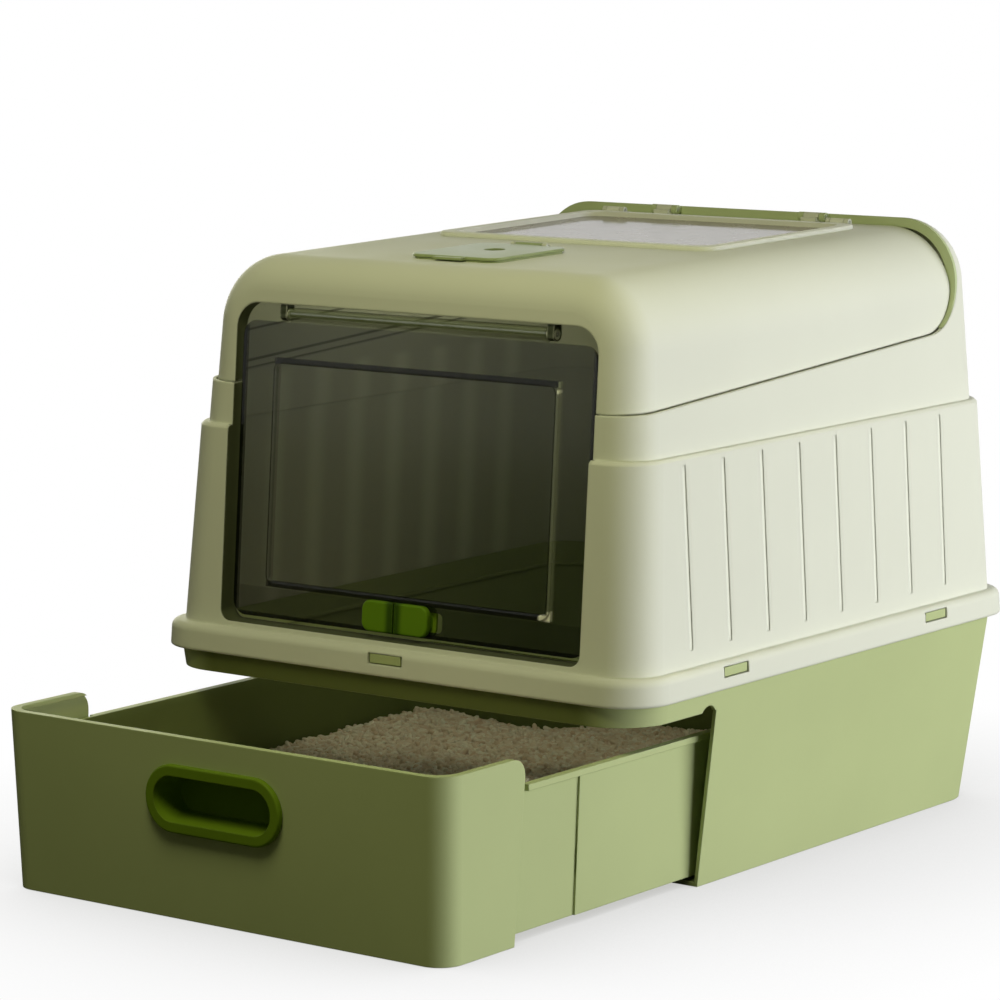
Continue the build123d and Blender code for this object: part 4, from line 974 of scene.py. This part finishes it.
@dataclass
class LitterBed:
    """Loose pellets on a heaped, uneven bed, in place of the plain litter solid.

    A wave is its share of the waves' height, and its radians per metre across and along.
    """

    node: str = "litter_bed"
    body: str = "drawer"
    wave: float = 0.0030
    broad_wave: tuple = (0.5, 31.0, 23.0)
    broad_shift: float = 1.1
    slant_wave: tuple = (0.3, 40.0, 67.0)
    small_wave: tuple = (0.2, 113.0, -71.0)
    heap: float = 0.024
    heap_from: float = -0.09
    heap_run: float = 0.27
    corner: float = 0.0165
    bed_inset: float = 0.0045
    bed_rows: int = 60
    bed_columns: int = 50
    bed_taper: float = 0.975
    sunk: float = 0.001
    strips: int = 4
    count: int = 14000
    inset: float = 0.0075
    scatter: float = 0.0018
    length: tuple = (0.0090, 0.0160)
    radius: float = 0.0018
    radius_spread: tuple = (0.85, 1.15)
    pitch_spread: float = 0.28
    sides: int = 6
    ends: tuple = (-0.5, -0.40, 0.40, 0.5)
    girth: tuple = (0.55, 1.0, 1.0, 0.55)
    shade_bias: float = 2.2
    seed: int = 11

    def round_in(self, x: np.ndarray, y: np.ndarray, box: Box, inset: float) -> tuple:
        """Places drawn in to a rectangle with round corners.

        Beyond a corner's centre a place is scaled back to the corner's circle.

        Args:
            x: Places across.
            y: Places along.
            box: Box of the litter solid.
            inset: Distance kept from its sides.

        Returns:
            The new x and y.
        """
        half = (box.high - box.low) / 2 - inset
        radius = self.corner - inset
        dx, dy = x - box.middle[0], y - box.middle[1]
        over_x = np.maximum(np.abs(dx) - (half[0] - radius), 0.0)
        over_y = np.maximum(np.abs(dy) - (half[1] - radius), 0.0)
        reach = np.maximum(np.hypot(over_x, over_y) / radius, 1.0)
        new_x = np.minimum(np.abs(dx), half[0] - radius) + over_x / reach
        new_y = np.minimum(np.abs(dy), half[1] - radius) + over_y / reach
        return box.middle[0] + np.sign(dx) * new_x, box.middle[1] + np.sign(dy) * new_y

    def height(self, x: np.ndarray, y: np.ndarray) -> np.ndarray:
        """Height over the nominal top: three waves added to a heap that rises rightwards.

        Args:
            x: Places across.
            y: Places along.

        Returns:
            The heights.
        """
        share = np.clip((x - self.heap_from) / self.heap_run, 0.0, 1.0)
        rise = self.heap * share * share * (3 - 2 * share)
        part, across, along = self.broad_wave
        waves = part * np.sin(across * x + self.broad_shift) * np.cos(along * y)
        part, across, along = self.slant_wave
        waves = waves + part * np.sin(across * x + along * y)
        part, across, along = self.small_wave
        waves = waves + part * np.cos(across * x + along * y)
        return rise + self.wave * waves - self.wave

    def bed(self, box: Box) -> bpy.types.Object:
        """Closed block whose top follows height(x, y) and whose foot is the top drawn in and made flat.

        Args:
            box: Box of the litter solid.

        Returns:
            The bed's object.
        """
        rows, columns, inset = self.bed_rows, self.bed_columns, self.bed_inset
        u = np.linspace(box.low[1] + inset, box.high[1] - inset, rows)
        v = np.linspace(box.low[0] + inset, box.high[0] - inset, columns)
        y, x = np.meshgrid(u, v, indexing="ij")
        x, y = self.round_in(x, y, box, inset)
        top = np.stack([x, y, box.high[2] + self.height(x, y) - self.sunk], axis=-1).reshape(-1, 3)
        foot = box.middle + (top - box.middle) * self.bed_taper
        foot[:, 2] = box.low[2]
        n = rows * columns
        number = np.arange(n).reshape(rows, columns)
        ring = np.concatenate([number[0, :-1], number[:-1, -1], number[-1, :0:-1], number[:0:-1, 0]])
        after = np.roll(ring, -1)
        side = np.stack([ring, ring + n, after + n, after], axis=-1)
        upper = grid_faces(rows, columns)
        return mesh_piece("litter_bed_fill", np.concatenate([top, foot]), [upper[:, ::-1], upper + n, side],
                          Tone.LITTER_DEEP)

    def capsules(self, length: np.ndarray, radius: np.ndarray) -> np.ndarray:
        """Points of capsules along X: (length x t, radius x r(t) x cos a, radius x r(t) x sin a).

        Args:
            length: Length of each capsule.
            radius: Radius of each capsule.

        Returns:
            (capsules, points, 3) array.
        """
        angle = np.linspace(0, 2 * np.pi, self.sides, endpoint=False)
        along = length[:, None, None] * np.array(self.ends)[None, :, None] * np.ones(self.sides)
        girth = radius[:, None, None] * np.array(self.girth)[None, :, None]
        points = np.stack([along, girth * np.cos(angle), girth * np.sin(angle)], axis=-1)
        return points.reshape(len(length), -1, 3)

    def turns(self, yaw: np.ndarray, pitch: np.ndarray) -> np.ndarray:
        """Turns by a pitch and then by a yaw.

        Args:
            yaw: Turn of each capsule about Z.
            pitch: Tilt of each capsule.

        Returns:
            (n, 3, 3) array.
        """
        cy, sy, cp, sp = np.cos(yaw), np.sin(yaw), np.cos(pitch), np.sin(pitch)
        return np.stack([np.stack([cy * cp, -sy, -cy * sp], -1), np.stack([sy * cp, cy, -sy * sp], -1),
                         np.stack([sp, np.zeros(len(yaw)), cp], -1)], axis=1)

    def pellets(self, box: Box, strip: int) -> bpy.types.Object:
        """One strip of pellets: capsules at random places and turns, point = place + turn @ capsule point.

        Args:
            box: Box of the litter solid.
            strip: Number of the strip, from front to back.

        Returns:
            The strip's object, with one shade value per pellet.
        """
        rng = np.random.default_rng(self.seed + strip)
        n = self.count // self.strips
        wide, deep = (box.high - box.low - 2 * self.inset)[:2]
        y = box.low[1] + self.inset + deep / self.strips * (strip + rng.random(n))
        x = box.low[0] + self.inset + wide * rng.random(n)
        x, y = self.round_in(x, y, box, self.inset)
        z = box.high[2] + self.height(x, y) - self.sunk + self.scatter * rng.random(n)
        local = self.capsules(rng.uniform(*self.length, n), self.radius * rng.uniform(*self.radius_spread, n))
        turn = self.turns(rng.uniform(0, np.pi, n), rng.normal(0, self.pitch_spread, n))
        points = np.einsum("nij,nkj->nki", turn, local) + np.stack([x, y, z], -1)[:, None, :]
        rings, each = len(self.ends), len(self.ends) * self.sides
        start = (np.arange(n) * each)[:, None, None]
        tube = (grid_faces(rings, self.sides, wrap=True)[None] + start).reshape(-1, 4)
        first = (np.arange(self.sides)[None] + start[:, 0]).reshape(-1, self.sides)
        last = first + (rings - 1) * self.sides
        obj = mesh_piece(f"litter_pellets_{strip}", points.reshape(-1, 3), [tube, first[:, ::-1], last],
                         Tone.LITTER_TOP)
        shade = obj.data.attributes.new("shade", "FLOAT", "POINT")
        values = rng.beta(self.shade_bias, self.shade_bias, n)
        shade.data.foreach_set("value", np.repeat(values, each).astype(np.float32))
        return obj

    def build(self) -> list:
        """Make the bed and its pellets and put them on the drawer."""
        box = Box(self.node)
        pieces = [self.bed(box)] + [self.pellets(box, strip) for strip in range(self.strips)]
        for piece in pieces:
            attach(piece, self.body)
        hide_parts(self.node)
        return pieces


@dataclass(frozen=True)
class SubAssembly:
    """CAD nodes of one sub-assembly, with a finish for each."""

    title: str
    tones: dict

    def build(self, nodes: dict) -> None:
        """Dress every node.

        Args:
            nodes: The frame's nodes by name.
        """
        for name, tone in self.tones.items():
            dress(nodes[name], tone)
            LOG.info("%s: %s in %s", self.title, name, tone.value.name)


SUB_ASSEMBLIES = (
    SubAssembly("base and hood", {
        "base_housing": Tone.SAGE_BASE, "hood_body": Tone.CREAM_HOOD, "rear_arch_trim": Tone.SAGE_TRIM,
        "lid_hinge_pins": Tone.STEEL}),
    SubAssembly("lid", {"dome_lid": Tone.CREAM_LID}),
    SubAssembly("scent box", {
        "scent_box_cup": Tone.SAGE, "charcoal_pad": Tone.FELT, "scent_box_lid": Tone.SAGE_GLOSS,
        "scent_hinge_pin": Tone.STEEL}),
    SubAssembly("skylight", {
        "skylight_frame": Tone.CREAM, "skylight_sheet": Tone.CLEAR, "skylight_hinge_pins": Tone.STEEL}),
    SubAssembly("door", {
        "door_panel": Tone.SMOKE, "door_hinge_rod": Tone.STEEL, "door_hinge_bushes": Tone.CREAM,
        "latch_slider": Tone.LATCH_GREEN, "latch_back_plate": Tone.DARK_GREEN}),
    SubAssembly("drawer", {
        "drawer_front": Tone.SAGE, "drawer_handle": Tone.DARK_GREEN, "drawer_tray": Tone.SAGE_TRAY,
        "litter_bed": Tone.LITTER_DEEP}),
)


@dataclass(frozen=True)
class PhotoCamera:
    """Camera found from the photograph's straight edges; angles in degrees, picture sizes in pixels."""

    place: tuple = (1.8284, -2.5246, 0.7076)
    yaw: float = 37.60
    pitch: float = 8.29
    roll: float = -0.29
    focal: float = 4142.0
    centre: tuple = (472.2, 487.1)
    frame: float = 1000.0
    sensor_mm: float = 36.0
    clip_end: float = 120.0

    def build(self) -> None:
        """Make the camera and look through it."""
        yaw, pitch, roll = np.radians([self.yaw, self.pitch, self.roll])
        ahead = np.array([-np.sin(yaw) * np.cos(pitch), np.cos(yaw) * np.cos(pitch), -np.sin(pitch)])
        level = np.array([np.cos(yaw), np.sin(yaw), 0.0])
        upright = np.cross(level, ahead)
        side = np.cos(roll) * level + np.sin(roll) * upright
        up = -np.sin(roll) * level + np.cos(roll) * upright
        data = bpy.data.cameras.new("camera")
        data.sensor_width = self.sensor_mm
        data.lens = self.focal / self.frame * self.sensor_mm
        data.shift_x = (self.frame / 2 - self.centre[0]) / self.frame
        data.shift_y = (self.centre[1] - self.frame / 2) / self.frame
        data.clip_end = self.clip_end
        obj = add_object("camera", data)
        aim(obj, self.place, side, up, ahead)
        bpy.context.scene.camera = obj


@dataclass(frozen=True)
class Lamp:
    """Oblong area lamp that points at a target and isn't seen by the camera; power in watts."""

    name: str
    place: tuple
    target: tuple
    size: tuple
    power: float
    colour: tuple

    def build(self) -> None:
        """Make the lamp, level along its width."""
        data = bpy.data.lights.new(self.name, "AREA")
        data.shape = "RECTANGLE"
        data.size, data.size_y = self.size
        data.energy = self.power
        data.color = self.colour
        obj = add_object(self.name, data)
        obj.visible_camera = False
        ahead = np.array(self.target) - np.array(self.place)
        ahead = ahead / np.linalg.norm(ahead)
        side = np.cross(ahead, (0.0, 0.0, 1.0))
        side = side / np.linalg.norm(side)
        aim(obj, self.place, side, np.cross(side, ahead), ahead)


LAMPS = (
    Lamp("key_right", (1.9, 1.10, 0.58), (0.2, 0.1, 0.30), (1.5, 1.1), 31.0, (1.0, 1.0, 0.98)),
    Lamp("strip_right", (1.9, 0.02, 0.075), (0.2, 0.0, 0.10), (0.62, 0.13), 11.0, (1.0, 1.0, 0.98)),
    Lamp("top_front", (0.22, -0.88, 1.22), (0.0, -0.25, 0.3), (0.5, 0.5), 6.0, (1.0, 0.98, 0.56)),
    Lamp("left_rear", (-2.8, 1.7, 0.7), (0.0, 0.0, 0.25), (1.6, 0.9), 22.0, (1.0, 0.98, 0.80)),
    Lamp("cabin_light", (0.10, -0.02, 0.375), (-0.2, 0.0, 0.43), (0.08, 0.05), 0.13, (1.0, 1.0, 0.66)),
)


@dataclass(frozen=True)
class Studio:
    """Pale floor, white surround, and soft lamps on the right, over the front, behind and inside."""

    camera: PhotoCamera = PhotoCamera()
    lamps: tuple = LAMPS
    sky_low: float = 0.0
    sky_high: float = 0.08
    sky_colour: tuple = (1.0, 0.97, 0.62)
    floor_half: float = 40.0
    floor_z: float = -0.0004
    floor_colour: tuple = (0.09, 0.09, 0.05)
    floor_tone: float = 0.96
    floor_clouds: Noise = Noise(0.7, 2.0)
    floor_roughness: float = 0.9
    floor_shine: float = 0.1
    shadow_colour: tuple = (0.55, 0.55, 0.53)
    shadow_reach: float = 0.30
    shadow_samples: int = 8

    def world(self) -> None:
        """White to camera, glossy and transmitted rays; to diffuse rays a sky that fades to the horizon."""
        world = bpy.data.worlds.new("studio")
        bpy.context.scene.world = world
        world.use_nodes = True
        nodes = Nodes(world.node_tree)
        path = nodes.node("LightPath").outputs
        seen = nodes.most(path["Is Camera Ray"], path["Is Glossy Ray"], path["Is Transmission Ray"])
        _, _, up = nodes.parts(nodes.node("TexCoord").outputs["Generated"])
        level = nodes.node("MapRange")
        level.inputs["To Min"].default_value = self.sky_low
        level.inputs["To Max"].default_value = self.sky_high
        nodes.link(up, level.inputs["Value"])
        fill = nodes.source("Background", self.sky_colour, level.outputs[0])
        surround = nodes.either(seen, fill, nodes.source("Background", WHITE))
        nodes.link(surround, nodes.node("OutputWorld").inputs["Surface"])

    def floor(self) -> None:
        """Wide floor: white with the box's soft shadow to the camera, dim and warm to light that bounces."""
        half = self.floor_half
        points = [(-half, -half, self.floor_z), (half, -half, self.floor_z), (half, half, self.floor_z),
                  (-half, half, self.floor_z)]
        mesh = bpy.data.meshes.new("floor")
        mesh.from_pydata(points, [], [[0, 1, 2, 3]])
        mat = Material("pale_floor")
        clouds = mat.noise(self.floor_clouds)
        mat.set(Base_Color=mat.ramp(clouds, toned(self.floor_colour, self.floor_tone), self.floor_colour),
                Roughness=self.floor_roughness, Specular_IOR_Level=self.floor_shine)
        near = mat.node("AmbientOcclusion")
        near.samples = self.shadow_samples
        near.inputs["Distance"].default_value = self.shadow_reach
        glow = mat.source("Emission", mat.mix(near.outputs["AO"], self.shadow_colour, WHITE))
        path = mat.node("LightPath").outputs
        seen = mat.most(path["Is Camera Ray"], path["Is Transmission Ray"])
        mat.link(mat.either(seen, mat.shader.outputs[0], glow), mat.surface)
        mesh.materials.append(mat.data)
        obj = add_object("floor", mesh)

    def build(self) -> None:
        """Set camera, world, floor and lamps."""
        self.camera.build()
        self.world()
        self.floor()
        for lamp in self.lamps:
            lamp.build()
        bpy.context.scene.view_settings.view_transform = "Standard"


def main() -> None:
    """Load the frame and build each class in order."""
    logging.basicConfig(level=logging.INFO, format="%(name)s: %(message)s")
    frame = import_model()
    for part in SUB_ASSEMBLIES:
        part.build(frame["nodes"])
    for piece in LitterBed().build():
        LOG.info("%s: %d faces", piece.name, len(piece.data.polygons))
    Studio().build()


if __name__ == "__main__":
    main()
